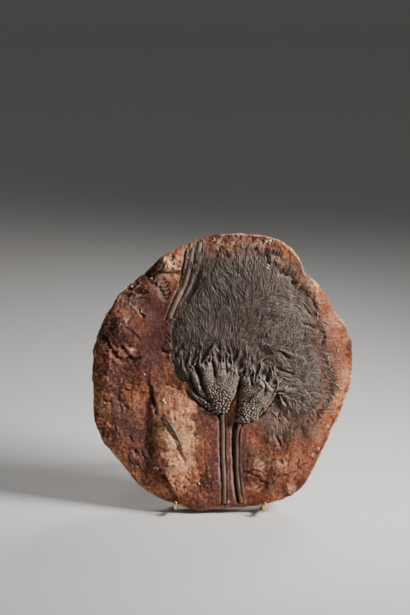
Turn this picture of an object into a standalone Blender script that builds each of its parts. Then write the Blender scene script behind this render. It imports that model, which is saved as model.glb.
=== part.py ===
"""Crinoid fossil: two sea lilies in relief on a red stone slab, leaning on a brass wire stand.

The slab and everything on it is modelled flat, in millimetres, as (across, up, out): across is to the
right, up runs along the slab from its lowest point, and out is proud of its face. The empty slab_lean
then stands the slab up and leans it back. The stand is placed with the same three measures.
"""

import math

import bmesh
import bpy
from mathutils import Vector, noise

MM = 0.001

# How the slab stands
LEAN = math.radians(14)        # how far the slab leans back from upright
SLAB_SETBACK = -75.8           # world y of the slab's lowest point
SLAB_LIFT = 4.0                # world z of the slab's lowest point
GAP = 0.35                     # clearance between touching pieces

# The slab
SLAB_CENTRE = (0, 166)
SLAB_THICKNESS = 25
FACE_CELLS = 32                # grid cells across the face
RIM_CHAMFER = 4.0              # how far the face rounds down at its rim
POCKET_FLOOR = -8.0            # underside of the cups and arms, which are set into the slab

# The broken outline of the slab, clockwise from the top of the loose stems
OUTLINE = (
    (-31, 327), (-16, 330), (6, 332), (32, 332), (50, 330), (66, 326), (77, 319), (86, 310), (93, 299),
    (97, 291), (97, 286), (105, 282), (112, 274), (122, 261), (132, 243), (141, 230), (150, 214), (154, 204),
    (154, 188), (153, 172), (151, 152), (144, 137), (130, 101), (116, 70), (100, 37), (89, 26), (77, 18),
    (60, 12), (36, 8), (12, 6), (-5, 5), (-16, 4), (-27, 0), (-36, 3), (-46, 7), (-57, 11), (-69, 16),
    (-82, 21), (-96, 30), (-108, 44), (-119, 59), (-131, 72), (-140, 82), (-145, 92), (-151, 108),
    (-153, 126), (-153, 144), (-154, 166), (-153, 188), (-151, 203), (-145, 219), (-140, 232), (-130, 248),
    (-121, 261), (-107, 274), (-92, 285), (-83, 294), (-78, 301), (-65, 310), (-47, 318), (-34, 324),
)
OUTLINE_CORNERS = ((97, 286), (-27, 0), (-31, 327), (-83, 294), (-140, 82))

# Swells and hollows of the stone: across, up, half length, half width, turn in degrees, height
STONE_FORMS = (
    (-46, 104, 64, 24, 8, 8.0),        # mound beside the left stem
    (-84, 88, 46, 15, 12, -6.0),       # hollow on the mound's steep side
    (-130, 120, 58, 20, 4, 3.0),       # left shoulder
    (-125, 229, 30, 24, -35, 4.5),     # upper left plateau
    (-86, 262, 16, 12, 0, 2.0),
    (-67, 301, 11, 17, -25, 5.5),      # lump above the stem mould
    (-61, 276, 16, 13, 0, -3.0),       # stem mould
    (-80, 215, 60, 26, 0, -2.2),       # smooth valley left of the arms
    (64, 316, 16, 34, 0, 2.5),         # upper right lobe
    (120, 215, 46, 16, -30, 1.8),      # right shoulder
    (124, 130, 46, 14, 24, 1.5),
    (66, 46, 24, 40, 0, 3.0),          # lower right swell
    (73, 95, 11, 5, -20, -4.0),        # pit under the right crown
    (10, 52, 60, 20, 0, -2.0),         # trough that the stems lie in
    (-58, 28, 14, 30, -20, 2.5),       # lower left swell
)
STONE_ROUGHNESS = 2.8
STONE_GRAIN = 26                       # wavelength of the roughness

# Left crinoid
LEFT_STEM = ((0, 118.5), (1, 97), (1, 77), (2.2, 55), (3.4, 32), (3.6, 11))
LEFT_CUP_BASE = ((-6, 119), (5, 119))
LEFT_CUP_LEFT = ((-6, 119), (-17, 127), (-30, 139), (-38, 152), (-40, 160))
LEFT_CUP_RIM = ((-40, 160), (-38, 172), (-30, 179), (-17, 181), (-2, 182), (12, 179), (22, 167))
LEFT_CUP_RIGHT = ((5, 119), (10, 131), (16, 143), (19, 155), (22, 167))
LEFT_ARM_TIPS = (
    (-49, 157), (-59, 176), (-61, 203), (-57, 228), (-43, 253), (-32, 280), (-24, 304), (-14, 313),
    (4, 316), (28, 316), (48, 314), (70, 308), (86, 294),
)

# Right crinoid, which lies partly behind the left one
RIGHT_STEM = ((20.2, 108.4), (18.8, 102), (17.6, 92), (17.2, 78), (17.4, 62), (18, 47), (19.2, 34), (22.8, 12))
RIGHT_CUP_BASE = ((17, 110), (28, 109))
RIGHT_CUP_LEFT = ((17, 110), (19, 124), (20, 138), (21.5, 152), (22.8, 166.6))
RIGHT_CUP_RIM = ((22.8, 166.6), (35, 165), (47, 161), (56, 156), (66, 146))
RIGHT_CUP_RIGHT = ((28, 109), (41, 113), (50, 122), (59, 134), (66, 146))
RIGHT_ARM_TIPS = (
    (86.5, 293.8), (100, 274), (108, 253), (112, 227), (115, 199), (124, 175), (130, 151), (122, 128),
    (103, 112), (82, 101), (60, 104),
)
RIGHT_ARM_SIDE = ((71, 133), (68, 117))   # the lowest arm bows out from the cup

CUP_RISE = 6.5                 # height of a cup's dome over its rim
CUP_EDGE = 1.5                 # height of a cup's edge over the face
PLATE_RISE = 1.2               # how far each plate of a cup bulges
ARM_ROOT_HEIGHT = 5.0          # arms stand highest at the cup
ARM_TIP_HEIGHT = 1.2
ARM_RIDGE = 1.1                # depth of the furrows between bundles of arms

STEM_RADIUS = 3.1
STEM_STEP = 11                 # length of a stem's straight runs
STEM_SINK = 0.2                # a stem's axis lies this far under the face
BROKEN_LIFT = 0.8              # the broken piece lies higher, on its mound

# Loose stems above the crowns and the broken piece at the lower left
LOOSE_LONG = ((-35, 317), (-41, 291), (-48.5, 268), (-55, 250), (-62, 234))
LOOSE_SHORT = ((-28, 323), (-31.5, 303), (-37, 282), (-43.5, 264))
LOOSE_CHIP = ((-43.5, 313), (-45, 304), (-47, 291))
BROKEN_PIECE = ((-66, 114), (-57, 100), (-50, 86), (-45, 72), (-40, 61))
LOOSE_RADIUS = 2.5
CHIP_RADIUS = 2.2
BROKEN_RADIUS = 1.9

# The stand, bent from brass rod
ROD_RADIUS = 2.4
HOOKS_ACROSS = (-55, 51)   # the two hooks
HOOK_SEAT = 9.8                # up the slab, where its rim sits on the hooks
HOOK_REACH = 6.5               # how far in front of the face a hook turns up
HOOK_TIP = 15.5                # up the slab, where a hook ends
BEND_RADIUS = 4.0
FRONT_BAR_UP = 26              # lower crossbar
TOP_BAR_UP = 205               # upper crossbar
REAR_FOOT = 81.0               # world y of the rear feet
REAR_SPLAY = 14                # how far each rear foot stands out from its leg's top
REAR_BAR_LIFT = 34             # height of the bar between the rear legs

collection = bpy.data.collections.new("crinoid_fossil")
helpers = bpy.data.collections.new("cutters")


def clear_scene():
    for old in list(bpy.data.objects):
        bpy.data.objects.remove(old)
    bpy.context.scene.collection.children.link(collection)
    bpy.context.scene.collection.children.link(helpers)


def finish(name, colour, roughness, metallic=0.0):
    """A plain Principled material."""
    material = bpy.data.materials.new(name)
    material.use_nodes = True
    shader = material.node_tree.nodes["Principled BSDF"]
    shader.inputs["Base Color"].default_value = (*colour, 1)
    shader.inputs["Roughness"].default_value = roughness
    shader.inputs["Metallic"].default_value = metallic
    return material


def pivot(name, location=(0, 0, 0), turn=0.0):
    empty = bpy.data.objects.new(name, None)
    empty.location = Vector(location) * MM
    empty.rotation_euler = (turn, 0, 0)
    collection.objects.link(empty)
    return empty


def add_mesh(shape, name, parent, material, smooth_below=40):
    """Turns a bmesh into a named object."""
    bmesh.ops.recalc_face_normals(shape, faces=shape.faces)
    mesh = bpy.data.meshes.new(name)
    shape.to_mesh(mesh)
    shape.free()
    piece = bpy.data.objects.new(name, mesh)
    collection.objects.link(piece)
    piece.parent = parent
    mesh.materials.append(material)
    mesh.shade_smooth()
    mesh.set_sharp_from_angle(angle=math.radians(smooth_below))
    return piece


def as_cutter(piece):
    piece.hide_render = True
    piece.display_type = "WIRE"
    collection.objects.unlink(piece)
    helpers.objects.link(piece)
    return piece


def cut_all(piece):
    """Takes every cutter out of the piece at once."""
    boolean = piece.modifiers.new("pockets and grooves", "BOOLEAN")
    boolean.operation = "DIFFERENCE"
    boolean.solver = "EXACT"
    boolean.operand_type = "COLLECTION"
    boolean.collection = helpers


def eased(x):
    """Smooth step from 0 to 1."""
    x = min(max(x, 0.0), 1.0)
    return x * x * (3 - 2 * x)


def through(points):
    """A smooth curve through the points, as a function of its share from 0 to 1."""
    points = [Vector(point) for point in points]
    reach = [0.0]
    for before, after in zip(points, points[1:]):
        reach.append(reach[-1] + (after - before).length)

    def at(share):
        distance = min(max(share, 0.0), 1.0) * reach[-1]
        i = max(k for k in range(len(points) - 1) if k == 0 or reach[k] <= distance)
        t = (distance - reach[i]) / (reach[i + 1] - reach[i])
        p1, p2 = points[i], points[i + 1]
        p0 = points[i - 1] if i > 0 else p1 * 2 - p2
        p3 = points[i + 2] if i + 2 < len(points) else p2 * 2 - p1
        bend = (p0 * 2 - p1 * 5 + p2 * 4 - p3) * t * t + (p1 * 3 - p0 - p2 * 3 + p3) * t ** 3
        return (p1 * 2 + (p2 - p0) * t + bend) / 2

    return at


def patch(base, rim, left, right):
    """Spans four edge curves: a function of the share across and the share from base to rim."""
    base, rim, left, right = (through(points) for points in (base, rim, left, right))

    def at(across, along):
        rows = base(across) * (1 - along) + rim(across) * along
        columns = left(along) * (1 - across) + right(along) * across
        corners = (base(0) * (1 - across) + base(1) * across) * (1 - along)
        corners += (rim(0) * (1 - across) + rim(1) * across) * along
        return rows + columns - corners

    return at


# ---------------------------------------------------------------- the slab

def outline_radius():
    """The slab's radius about its centre, as a function of the angle."""
    table = []
    for across, up in OUTLINE:
        x, y = across - SLAB_CENTRE[0], up - SLAB_CENTRE[1]
        table.append((math.atan2(y, x), math.hypot(x, y)))
    table.sort()
    first, last = table[0], table[-1]
    table = [(last[0] - math.tau, last[1])] + table + [(first[0] + math.tau, first[1])]

    def at(angle):
        for (a0, r0), (a1, r1) in zip(table, table[1:]):
            if a0 <= angle <= a1:
                return r0 + (r1 - r0) * (angle - a0) / (a1 - a0)
        return table[0][1]

    return at


slab_radius = outline_radius()


def face_height(across, up):
    """How far the stone's face is out of its mean plane."""
    x, y = across - SLAB_CENTRE[0], up - SLAB_CENTRE[1]
    share = math.hypot(x, y) / slab_radius(math.atan2(y, x))
    height = -RIM_CHAMFER * eased((share - 0.9) / 0.1)
    for x, y, half_length, half_width, turn, rise in STONE_FORMS:
        a = math.radians(turn)
        along = ((up - y) * math.cos(a) + (across - x) * math.sin(a)) / half_length
        aside = ((across - x) * math.cos(a) - (up - y) * math.sin(a)) / half_width
        height += rise * math.exp(-1.4 * (along * along + aside * aside))
    place = Vector((across, up, 0)) / STONE_GRAIN
    return height + STONE_ROUGHNESS * noise.fractal(place, 0.8, 2.1, 3)


def slab(parent, material):
    """A grid bent to the outline and raised to the stone's relief, with a rough rim and a flat back."""
    shape = bmesh.new()
    bmesh.ops.create_grid(shape, x_segments=FACE_CELLS, y_segments=FACE_CELLS, size=1)
    for vertex in shape.verts:
        x, y = vertex.co.x, vertex.co.y
        disc = Vector((x * math.sqrt(1 - y * y / 2), y * math.sqrt(1 - x * x / 2), 0))
        vertex.co = disc * slab_radius(math.atan2(disc.y, disc.x)) + Vector((*SLAB_CENTRE, 0))
    rim = [vertex for vertex in shape.verts if vertex.is_boundary]
    for corner in OUTLINE_CORNERS:
        corner = Vector((*corner, 0))
        nearest = min(rim, key=lambda vertex: (vertex.co - corner).length)
        nearest.co = corner
    for vertex in shape.verts:
        vertex.co.z = face_height(vertex.co.x, vertex.co.y)

    centre = Vector((*SLAB_CENTRE, 0))
    edges = [edge for edge in shape.edges if edge.is_boundary]
    for share, depth in ((1.0, -11), (0.985, -19), (0.965, -SLAB_THICKNESS)):
        ring = bmesh.ops.extrude_edge_only(shape, edges=edges)["geom"]
        edges = [item for item in ring if isinstance(item, bmesh.types.BMEdge)]
        for vertex in (item for item in ring if isinstance(item, bmesh.types.BMVert)):
            flat = Vector((vertex.co.x, vertex.co.y, 0)) - centre
            angle = math.atan2(flat.y, flat.x)
            rough = noise.noise(Vector((math.cos(angle), math.sin(angle), depth)) * 4)
            flat = flat.normalized() * slab_radius(angle) * (share - 0.006 * (1 + rough))
            vertex.co = centre + flat + Vector((0, 0, depth))
    bmesh.ops.contextual_create(shape, geom=edges)
    for vertex in shape.verts:
        vertex.co *= MM
    return add_mesh(shape, "matrix_slab", parent, material)


# ---------------------------------------------------------------- fossils that lie flat

def relief_block(name, columns, rows, place, parent, material):
    """A grid put in place over the stone's face, with its rim let down to a flat underside."""
    shape = bmesh.new()
    bmesh.ops.create_grid(shape, x_segments=columns, y_segments=rows, size=0.5)
    for vertex in shape.verts:
        spot = place(vertex.co.x + 0.5, vertex.co.y + 0.5)
        spot.z += face_height(spot.x, spot.y)
        vertex.co = spot * MM
    edges = [edge for edge in shape.edges if edge.is_boundary]
    skirt = bmesh.ops.extrude_edge_only(shape, edges=edges)["geom"]
    for vertex in (item for item in skirt if isinstance(item, bmesh.types.BMVert)):
        vertex.co.z = POCKET_FLOOR * MM
    low = [item for item in skirt if isinstance(item, bmesh.types.BMEdge)]
    bmesh.ops.contextual_create(shape, geom=low)
    return add_mesh(shape, name, parent, material, smooth_below=60)


def pocket_cutter(piece):
    """A prism a little wider and deeper than the piece's flat underside."""
    shape = bmesh.new()
    shape.from_mesh(piece.data)
    floor = max(shape.faces, key=lambda face: face.calc_area())
    bmesh.ops.delete(shape, geom=[face for face in shape.faces if face != floor], context="FACES")
    floor = next(iter(shape.faces))
    corners = [vertex.co.copy() for vertex in floor.verts]
    turn = Vector((0, 0, 1 if floor.normal.z > 0 else -1))
    for i, vertex in enumerate(floor.verts):
        before = (corners[i] - corners[i - 1]).normalized().cross(turn)
        after = (corners[(i + 1) % len(corners)] - corners[i]).normalized().cross(turn)
        out = (before + after).normalized()
        vertex.co += out * (GAP * MM / max(out.dot(after), 0.4))
        vertex.co.z = (POCKET_FLOOR - GAP) * MM
    lid = bmesh.ops.extrude_face_region(shape, geom=[floor])["geom"]
    for vertex in (item for item in lid if isinstance(item, bmesh.types.BMVert)):
        vertex.co.z = 20 * MM
    return as_cutter(add_mesh(shape, piece.name + "_pocket", piece.parent, piece.data.materials[0]))


def cup(name, base, rim, left, right, lobes, columns, rows, parent, material):
    """The cup between stem and arms: a low dome in lobes, with plates that bulge in a staggered net."""
    spot = patch(base, rim, left, right)

    def place(across, along):
        flat = spot(across, along)
        dome = math.sin(math.pi * across) ** 0.7 * math.sin(math.pi * (0.12 + 0.62 * along))
        height = CUP_EDGE + 1.5 * along + CUP_RISE * dome
        groove = abs(math.sin(math.pi * lobes * across)) ** 0.5
        height -= 2.2 * (1 - groove) * eased((along - 0.35) / 0.5)
        step = round(across * columns) + round(along * rows)
        plates = 1 - eased((along - 0.55) / 0.3)
        inside = 0 < across < 1 and 0 < along < 1
        height += PLATE_RISE * (step % 2) * plates * inside
        return Vector((flat.x, flat.y, height))

    return relief_block(name, columns, rows, place, parent, material)


def arms(name, rim, tips, last_arm, bundles, rows, parent, material):
    """The mat of arms that opens from a cup's rim, in furrowed bundles that run out to their tips."""
    spot = patch(rim, tips, (rim[0], tips[0]), (rim[-1], *last_arm, tips[-1]))
    columns = 2 * bundles

    def place(across, along):
        flat = spot(across, along)
        height = ARM_ROOT_HEIGHT + (ARM_TIP_HEIGHT - ARM_ROOT_HEIGHT) * along ** 0.6
        side = math.sin(math.pi * across) ** 0.25 if 0 < across < 1 else 0
        height = height * (0.45 + 0.55 * side)
        ridge = 1 if round(across * columns) % 2 else -1
        height += ARM_RIDGE * ridge * (0.6 + 0.4 * along)
        height += 0.8 * noise.noise(Vector((flat.x, flat.y, 0)) / 18)
        return Vector((flat.x, flat.y, height))

    return relief_block(name, columns, rows, place, parent, material)


def widened(points, clearance):
    """The same line of points, moved out to its left side by the clearance."""
    moved = []
    for i, (x, y) in enumerate(points):
        before, after = points[max(i - 1, 0)], points[min(i + 1, len(points) - 1)]
        along = Vector((after[0] - before[0], after[1] - before[1])).normalized()
        moved.append((x - along.y * clearance, y + along.x * clearance))
    return tuple(moved)


# ---------------------------------------------------------------- rods and stems

def tube(name, route, radius, parent, material, end_width=1.0, domed=False):
    """A round bar of eight sides along the route, which may taper, with its far end cut flat or domed."""
    route = [Vector(point) for point in route]
    widths = [1 + (end_width - 1) * i / (len(route) - 1) for i in range(len(route))]
    if domed:
        top = route.pop()
        widths.pop()
        direction = (top - route[-1]).normalized()
        for angle in (math.radians(degrees) for degrees in (0, 35, 62, 82)):
            route.append(top - direction * radius * (1 - math.sin(angle)))
            widths.append(math.cos(angle))
    curve = bpy.data.curves.new(name, "CURVE")
    curve.dimensions = "3D"
    curve.bevel_depth = radius * MM
    curve.bevel_resolution = 2
    curve.use_fill_caps = True
    curve.materials.append(material)
    spline = curve.splines.new("POLY")
    spline.points.add(len(route) - 1)
    for point, place, width in zip(spline.points, route, widths):
        point.co = (*(place * MM), 1)
        point.radius = width
    piece = bpy.data.objects.new(name, curve)
    collection.objects.link(piece)
    piece.parent = parent
    return piece


def as_mesh(piece):
    """A mesh in place of the curve, with its caps welded on."""
    bpy.context.view_layer.update()
    evaluated = piece.evaluated_get(bpy.context.evaluated_depsgraph_get())
    mesh = bpy.data.meshes.new_from_object(evaluated)
    shape = bmesh.new()
    shape.from_mesh(mesh)
    bmesh.ops.remove_doubles(shape, verts=shape.verts, dist=0.01 * MM)
    bmesh.ops.recalc_face_normals(shape, faces=shape.faces)
    shape.to_mesh(mesh)
    shape.free()
    solid = bpy.data.objects.new(piece.name, mesh)
    solid.parent = piece.parent
    solid.matrix_world = piece.matrix_world
    collection.objects.link(solid)
    bpy.data.objects.remove(piece)
    return solid


def stem(name, line, radius, parent, material, out=-STEM_SINK, end_width=1.0):
    """A round stem half sunk in the slab, and the cut for its groove."""
    curve = through(line)
    length = sum(math.dist(a, b) for a, b in zip(line, line[1:]))
    steps = round(length / STEM_STEP)
    route = []
    for i in range(steps + 1):
        across, up = curve(i / steps)
        route.append(Vector((across, up, face_height(across, up) + out)))
    piece = tube(name, route, radius, parent, material, end_width)
    head = route[0] + (route[0] - route[1]).normalized() * GAP
    foot = route[-1] + (route[-1] - route[-2]).normalized() * GAP
    groove = tube(name + "_groove", [head, *route[1:-1], foot], radius + GAP, parent, material, end_width)
    as_cutter(as_mesh(groove))
    return piece


# ---------------------------------------------------------------- the brass stand

def on_slab(across, up, out):
    """A point given by the slab's own measures, in the world's, in millimetres."""
    y = SLAB_SETBACK + up * math.sin(LEAN) - out * math.cos(LEAN)
    z = SLAB_LIFT + up * math.cos(LEAN) + out * math.sin(LEAN)
    return Vector((across, y, z))


def hook(name, across, parent, material):
    """Runs out from a leg under the slab's rim, then turns up in front of it to a domed tip."""
    seat = HOOK_SEAT - ROD_RADIUS
    turn_in = HOOK_REACH - BEND_RADIUS
    route = [(across, seat, -SLAB_THICKNESS), (across, seat, turn_in)]
    for angle in (math.radians(degrees) for degrees in (22.5, 45, 67.5, 90)):
        out = turn_in + BEND_RADIUS * math.sin(angle)
        up = seat + BEND_RADIUS * (1 - math.cos(angle))
        route.append((across, up, out))
    route.append((across, HOOK_TIP, HOOK_REACH))
    return tube(name, route, ROD_RADIUS, parent, material, domed=True)


def leg(name, top, foot, parent, material):
    """A straight rod from its top to the floor, its foot turned upright so that it ends flat."""
    top, foot = Vector(top), Vector(foot)
    direction = (foot - top).normalized()
    ankle = foot - direction * (1.5 * ROD_RADIUS / -direction.z)
    return tube(name, (top, ankle, (ankle.x, ankle.y, 0)), ROD_RADIUS, parent, material)


def stand(slab_lean, base, material):
    """Two legs behind the slab with a hook each, crossbars, and two rear legs."""
    rod = ROD_RADIUS + GAP
    behind = -SLAB_THICKNESS - rod
    for side, across in zip(("left", "right"), HOOKS_ACROSS):
        hook(side + "_hook", across, slab_lean, material)
        top = on_slab(across, TOP_BAR_UP + 2 * ROD_RADIUS, behind)
        slope = math.tan(LEAN)
        foot = (across, top.y - top.z * slope, 0)
        leg(side + "_front_leg", top, foot, base, material)
    left, right = HOOKS_ACROSS
    for name, up in (("lower_crossbar", FRONT_BAR_UP), ("upper_crossbar", TOP_BAR_UP)):
        ends = ((left + rod, up, behind), (right - rod, up, behind))
        tube(name, ends, ROD_RADIUS, slab_lean, material)

    bar = on_slab(0, TOP_BAR_UP, behind)
    rear_legs = {}
    rear = (("left", left + 3 * rod, -REAR_SPLAY), ("right", right - 3 * rod, REAR_SPLAY))
    for side, across, splay in rear:
        centre = Vector((across, bar.y, bar.z))
        foot = Vector((across + splay, REAR_FOOT, 0))
        top = centre + (foot - centre).normalized() * rod
        leg(side + "_rear_leg", top, foot, base, material)
        rear_legs[side] = top.lerp(foot, 1 - REAR_BAR_LIFT / top.z)
    inset = Vector((rod * 1.03, 0, 0))
    ends = (rear_legs["left"] + inset, rear_legs["right"] - inset)
    tube("rear_crossbar", ends, ROD_RADIUS, base, material)


# ---------------------------------------------------------------- the whole object

def build():
    clear_scene()
    red_stone = finish("red_stone", (0.22, 0.09, 0.06), 0.75)
    grey_fossil = finish("grey_fossil", (0.16, 0.13, 0.11), 0.5)
    brass = finish("brass", (0.72, 0.53, 0.25), 0.3, metallic=1.0)

    base = pivot("crinoid_fossil")
    slab_lean = pivot("slab_lean", (0, SLAB_SETBACK, SLAB_LIFT), math.pi / 2 - LEAN)
    slab_lean.parent = base

    stone = slab(slab_lean, red_stone)
    flat_fossils = (
        cup("left_cup", LEFT_CUP_BASE, LEFT_CUP_RIM, LEFT_CUP_LEFT, LEFT_CUP_RIGHT, 4, 20, 16,
            slab_lean, grey_fossil),
        cup("right_cup", RIGHT_CUP_BASE, RIGHT_CUP_RIM, RIGHT_CUP_LEFT, RIGHT_CUP_RIGHT, 3, 16, 14,
            slab_lean, grey_fossil),
        arms("left_arms", widened(LEFT_CUP_RIM, GAP), LEFT_ARM_TIPS, (), 30, 9,
             slab_lean, grey_fossil),
        arms("right_arms", widened(RIGHT_CUP_RIM, GAP), RIGHT_ARM_TIPS, RIGHT_ARM_SIDE, 24, 8,
             slab_lean, grey_fossil),
    )
    for piece in flat_fossils:
        pocket_cutter(piece)
    stem("left_stem", LEFT_STEM, STEM_RADIUS, slab_lean, grey_fossil)
    stem("right_stem", RIGHT_STEM, STEM_RADIUS, slab_lean, grey_fossil)
    stem("loose_stem_long", LOOSE_LONG, LOOSE_RADIUS, slab_lean, grey_fossil)
    stem("loose_stem_short", LOOSE_SHORT, LOOSE_RADIUS, slab_lean, grey_fossil)
    stem("loose_stem_chip", LOOSE_CHIP, CHIP_RADIUS, slab_lean, grey_fossil)
    stem("broken_stem_piece", BROKEN_PIECE, BROKEN_RADIUS, slab_lean, grey_fossil, BROKEN_LIFT, 0.6)
    cut_all(stone)

    stand(slab_lean, base, brass)


build()
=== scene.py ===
"""Two sea lilies turned to stone, side by side in relief on a plate of red mudstone, which leans back on
a stand of bent brass rod.

What is on the plate is measured in millimetres as (across, up, out): across to the right, up along the
plate from its lowest point, and out from its face. plate_lean stands the plate up and leans it back.
"""

import math

import bmesh
import bpy
import numpy as np
from mathutils import Matrix, Vector, noise
from mathutils.bvhtree import BVHTree


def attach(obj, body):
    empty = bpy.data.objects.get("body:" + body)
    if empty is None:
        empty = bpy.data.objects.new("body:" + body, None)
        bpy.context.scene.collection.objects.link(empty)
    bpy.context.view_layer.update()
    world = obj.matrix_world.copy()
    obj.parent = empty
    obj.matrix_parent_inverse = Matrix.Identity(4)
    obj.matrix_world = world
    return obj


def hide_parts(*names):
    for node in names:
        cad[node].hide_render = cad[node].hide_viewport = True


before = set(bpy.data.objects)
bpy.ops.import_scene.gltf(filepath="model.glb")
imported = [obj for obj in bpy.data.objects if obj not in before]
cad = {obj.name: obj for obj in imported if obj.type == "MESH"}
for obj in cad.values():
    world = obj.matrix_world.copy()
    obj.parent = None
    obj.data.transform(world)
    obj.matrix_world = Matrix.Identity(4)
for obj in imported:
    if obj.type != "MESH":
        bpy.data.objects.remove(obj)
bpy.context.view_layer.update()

MM = 0.001
LEAN = math.radians(14)
plate_lean = (
    Matrix.Translation((0, -75.8 * MM, 4 * MM))
    @ Matrix.Rotation(math.pi / 2 - LEAN, 4, "X")
    @ Matrix.Scale(MM, 4)
)


# ---------------------------------------------------------------- the table top and the light
# A pale matt floor that sweeps up behind, one soft light low on the right that rakes across the
# relief, and weak light from the rest of the room.

def node(tree, kind, inputs=(), **settings):
    """A shader node, with its sockets set to values or joined to other sockets."""
    made = tree.nodes.new("ShaderNode" + kind)
    for setting, value in settings.items():
        setattr(made, setting, value)
    for socket, value in dict(inputs).items():
        if isinstance(value, bpy.types.NodeSocket):
            tree.links.new(value, made.inputs[socket])
        else:
            made.inputs[socket].default_value = value
    return made


def finish(name):
    """A new material, its node tree and its shader."""
    material = bpy.data.materials.new(name)
    material.use_nodes = True
    return material, material.node_tree, material.node_tree.nodes["Principled BSDF"]


floor_finish, tree, shader = finish("pale_floor")
shader.inputs["Base Color"].default_value = (0.62, 0.61, 0.60, 1)
shader.inputs["Roughness"].default_value = 0.85

shape = bmesh.new()
bmesh.ops.create_grid(shape, x_segments=1, y_segments=1, size=4, matrix=Matrix.Translation((0, -1.2, 0)))
back = [edge for edge in shape.edges if all(vertex.co.y > 0 for vertex in edge.verts)]
for step in range(1, 9):
    turn = math.radians(step * 11.25)
    ring = bmesh.ops.extrude_edge_only(shape, edges=back)["geom"]
    back = [item for item in ring if isinstance(item, bmesh.types.BMEdge)]
    for vertex in back[0].verts:
        vertex.co = (vertex.co.x, 2.8 + 0.9 * math.sin(turn), 0.9 * (1 - math.cos(turn)))
ring = bmesh.ops.extrude_edge_only(shape, edges=back)["geom"]
for vertex in (item for item in ring if isinstance(item, bmesh.types.BMVert)):
    vertex.co.z = 4
mesh = bpy.data.meshes.new("floor")
shape.to_mesh(mesh)
shape.free()
mesh.materials.append(floor_finish)
mesh.shade_smooth()
floor = bpy.data.objects.new("floor", mesh)
bpy.context.scene.collection.objects.link(floor)

plate_centre = plate_lean @ Vector((0, 166, 0))
azimuth, elevation = math.radians(1), math.radians(19)
towards = Vector((
    math.sin(azimuth) * math.cos(elevation),
    -math.cos(azimuth) * math.cos(elevation),
    math.sin(elevation),
))
right = Vector((math.cos(azimuth), math.sin(azimuth), 0))
above = towards.cross(right)
lens = bpy.data.cameras.new("camera")
lens.sensor_fit = "VERTICAL"
lens.sensor_height = 36
lens.lens = 118.5
camera = bpy.data.objects.new("camera", lens)
aim = plate_centre - right * 20.4 * MM + above * 79.8 * MM
facing = Matrix((right, above, towards)).transposed().to_4x4()
camera.matrix_world = Matrix.Translation(aim + towards * 2.4) @ facing
bpy.context.scene.collection.objects.link(camera)
bpy.context.scene.camera = camera


def lamp(name, turn, height, distance, size, power, colour, beam=180):
    """A square soft light, turned from the plate's front to its right, that shines on the plate."""
    light = bpy.data.lights.new(name, "AREA")
    light.size = size
    light.energy = power
    light.color = colour
    light.spread = math.radians(beam)
    turn, height = math.radians(turn), math.radians(height)
    way = Vector((math.sin(turn) * math.cos(height), -math.cos(turn) * math.cos(height), math.sin(height)))
    holder = bpy.data.objects.new(name, light)
    holder.location = plate_centre + way * distance
    holder.rotation_euler = way.to_track_quat("Z", "Y").to_euler()
    bpy.context.scene.collection.objects.link(holder)


lamp("key_light", 76, 33, 1.15, 0.36, 5.7, (1.0, 0.97, 0.94), 70)
lamp("front_light", 30, 55, 2.2, 1.4, 1.3, (1.0, 0.99, 0.98))
lamp("back_light", 150, 45, 1.6, 0.6, 3.5, (1.0, 0.98, 0.96), 90)
world = bpy.data.worlds.new("room")
bpy.context.scene.world = world
world.use_nodes = True
world.node_tree.nodes["Background"].inputs["Color"].default_value = (1.0, 0.98, 0.96, 1)
world.node_tree.nodes["Background"].inputs["Strength"].default_value = 0.12


# ---------------------------------------------------------------- the stone plate
# Fine red mudstone, split from its bed and chipped round. Its face is a map of heights, and so are
# the fossils' flat parts, which all lie on the heights of the plain model.

GRID = 0.6
WEST, SOUTH, COLUMNS, ROWS = -166.0, -12.0, 554, 594
X, Y = np.meshgrid(WEST + GRID * np.arange(COLUMNS), SOUTH + GRID * np.arange(ROWS))
WRAP = 97


def eased(x):
    """Smooth step from 0 to 1."""
    x = np.clip(x, 0, 1)
    return x * x * (3 - 2 * x)


def read(field, x, y):
    """A map's value at any points."""
    u = np.clip((x - WEST) / GRID, 0, COLUMNS - 1.001)
    v = np.clip((y - SOUTH) / GRID, 0, ROWS - 1.001)
    i, j = np.int_(u), np.int_(v)
    s, t = u - i, v - j
    low = field[j, i] * (1 - s) + field[j, i + 1] * s
    high = field[j + 1, i] * (1 - s) + field[j + 1, i + 1] * s
    return low * (1 - t) + high * t


def blurred(field, reach):
    """A map with everything smaller than reach smoothed away."""
    steps = max(int(2.5 * reach / GRID), 1)
    weights = np.exp(-0.5 * (np.arange(-steps, steps + 1) * GRID / reach) ** 2)
    weights /= weights.sum()
    for _ in range(2):
        wide = np.pad(field, ((steps, steps), (0, 0)), mode="edge")
        field = sum(w * wide[k:k + field.shape[0]] for k, w in enumerate(weights)).T
    return field


def uneven(x, y, size, seed, octaves=1):
    """Random swells of that size, between about -1 and 1."""
    total, strength, most = 0, 1.0, 0.0
    for octave in range(octaves):
        dice = np.random.default_rng(seed * 31 + octave)
        lattice = dice.uniform(-1, 1, (WRAP, WRAP))
        turn = dice.uniform(0, math.tau)
        u = (x * math.cos(turn) - y * math.sin(turn)) / size + 500
        v = (x * math.sin(turn) + y * math.cos(turn)) / size + 500
        i, j = np.floor(u).astype(int), np.floor(v).astype(int)
        s, t = eased(u - i), eased(v - j)
        i, j, east, north = i % WRAP, j % WRAP, (i + 1) % WRAP, (j + 1) % WRAP
        low = lattice[j, i] * (1 - s) + lattice[j, east] * s
        high = lattice[north, i] * (1 - s) + lattice[north, east] * s
        total = total + strength * (low * (1 - t) + high * t)
        most += strength
        strength /= 2
        size /= 2
    return total / most * 1.4


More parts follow.
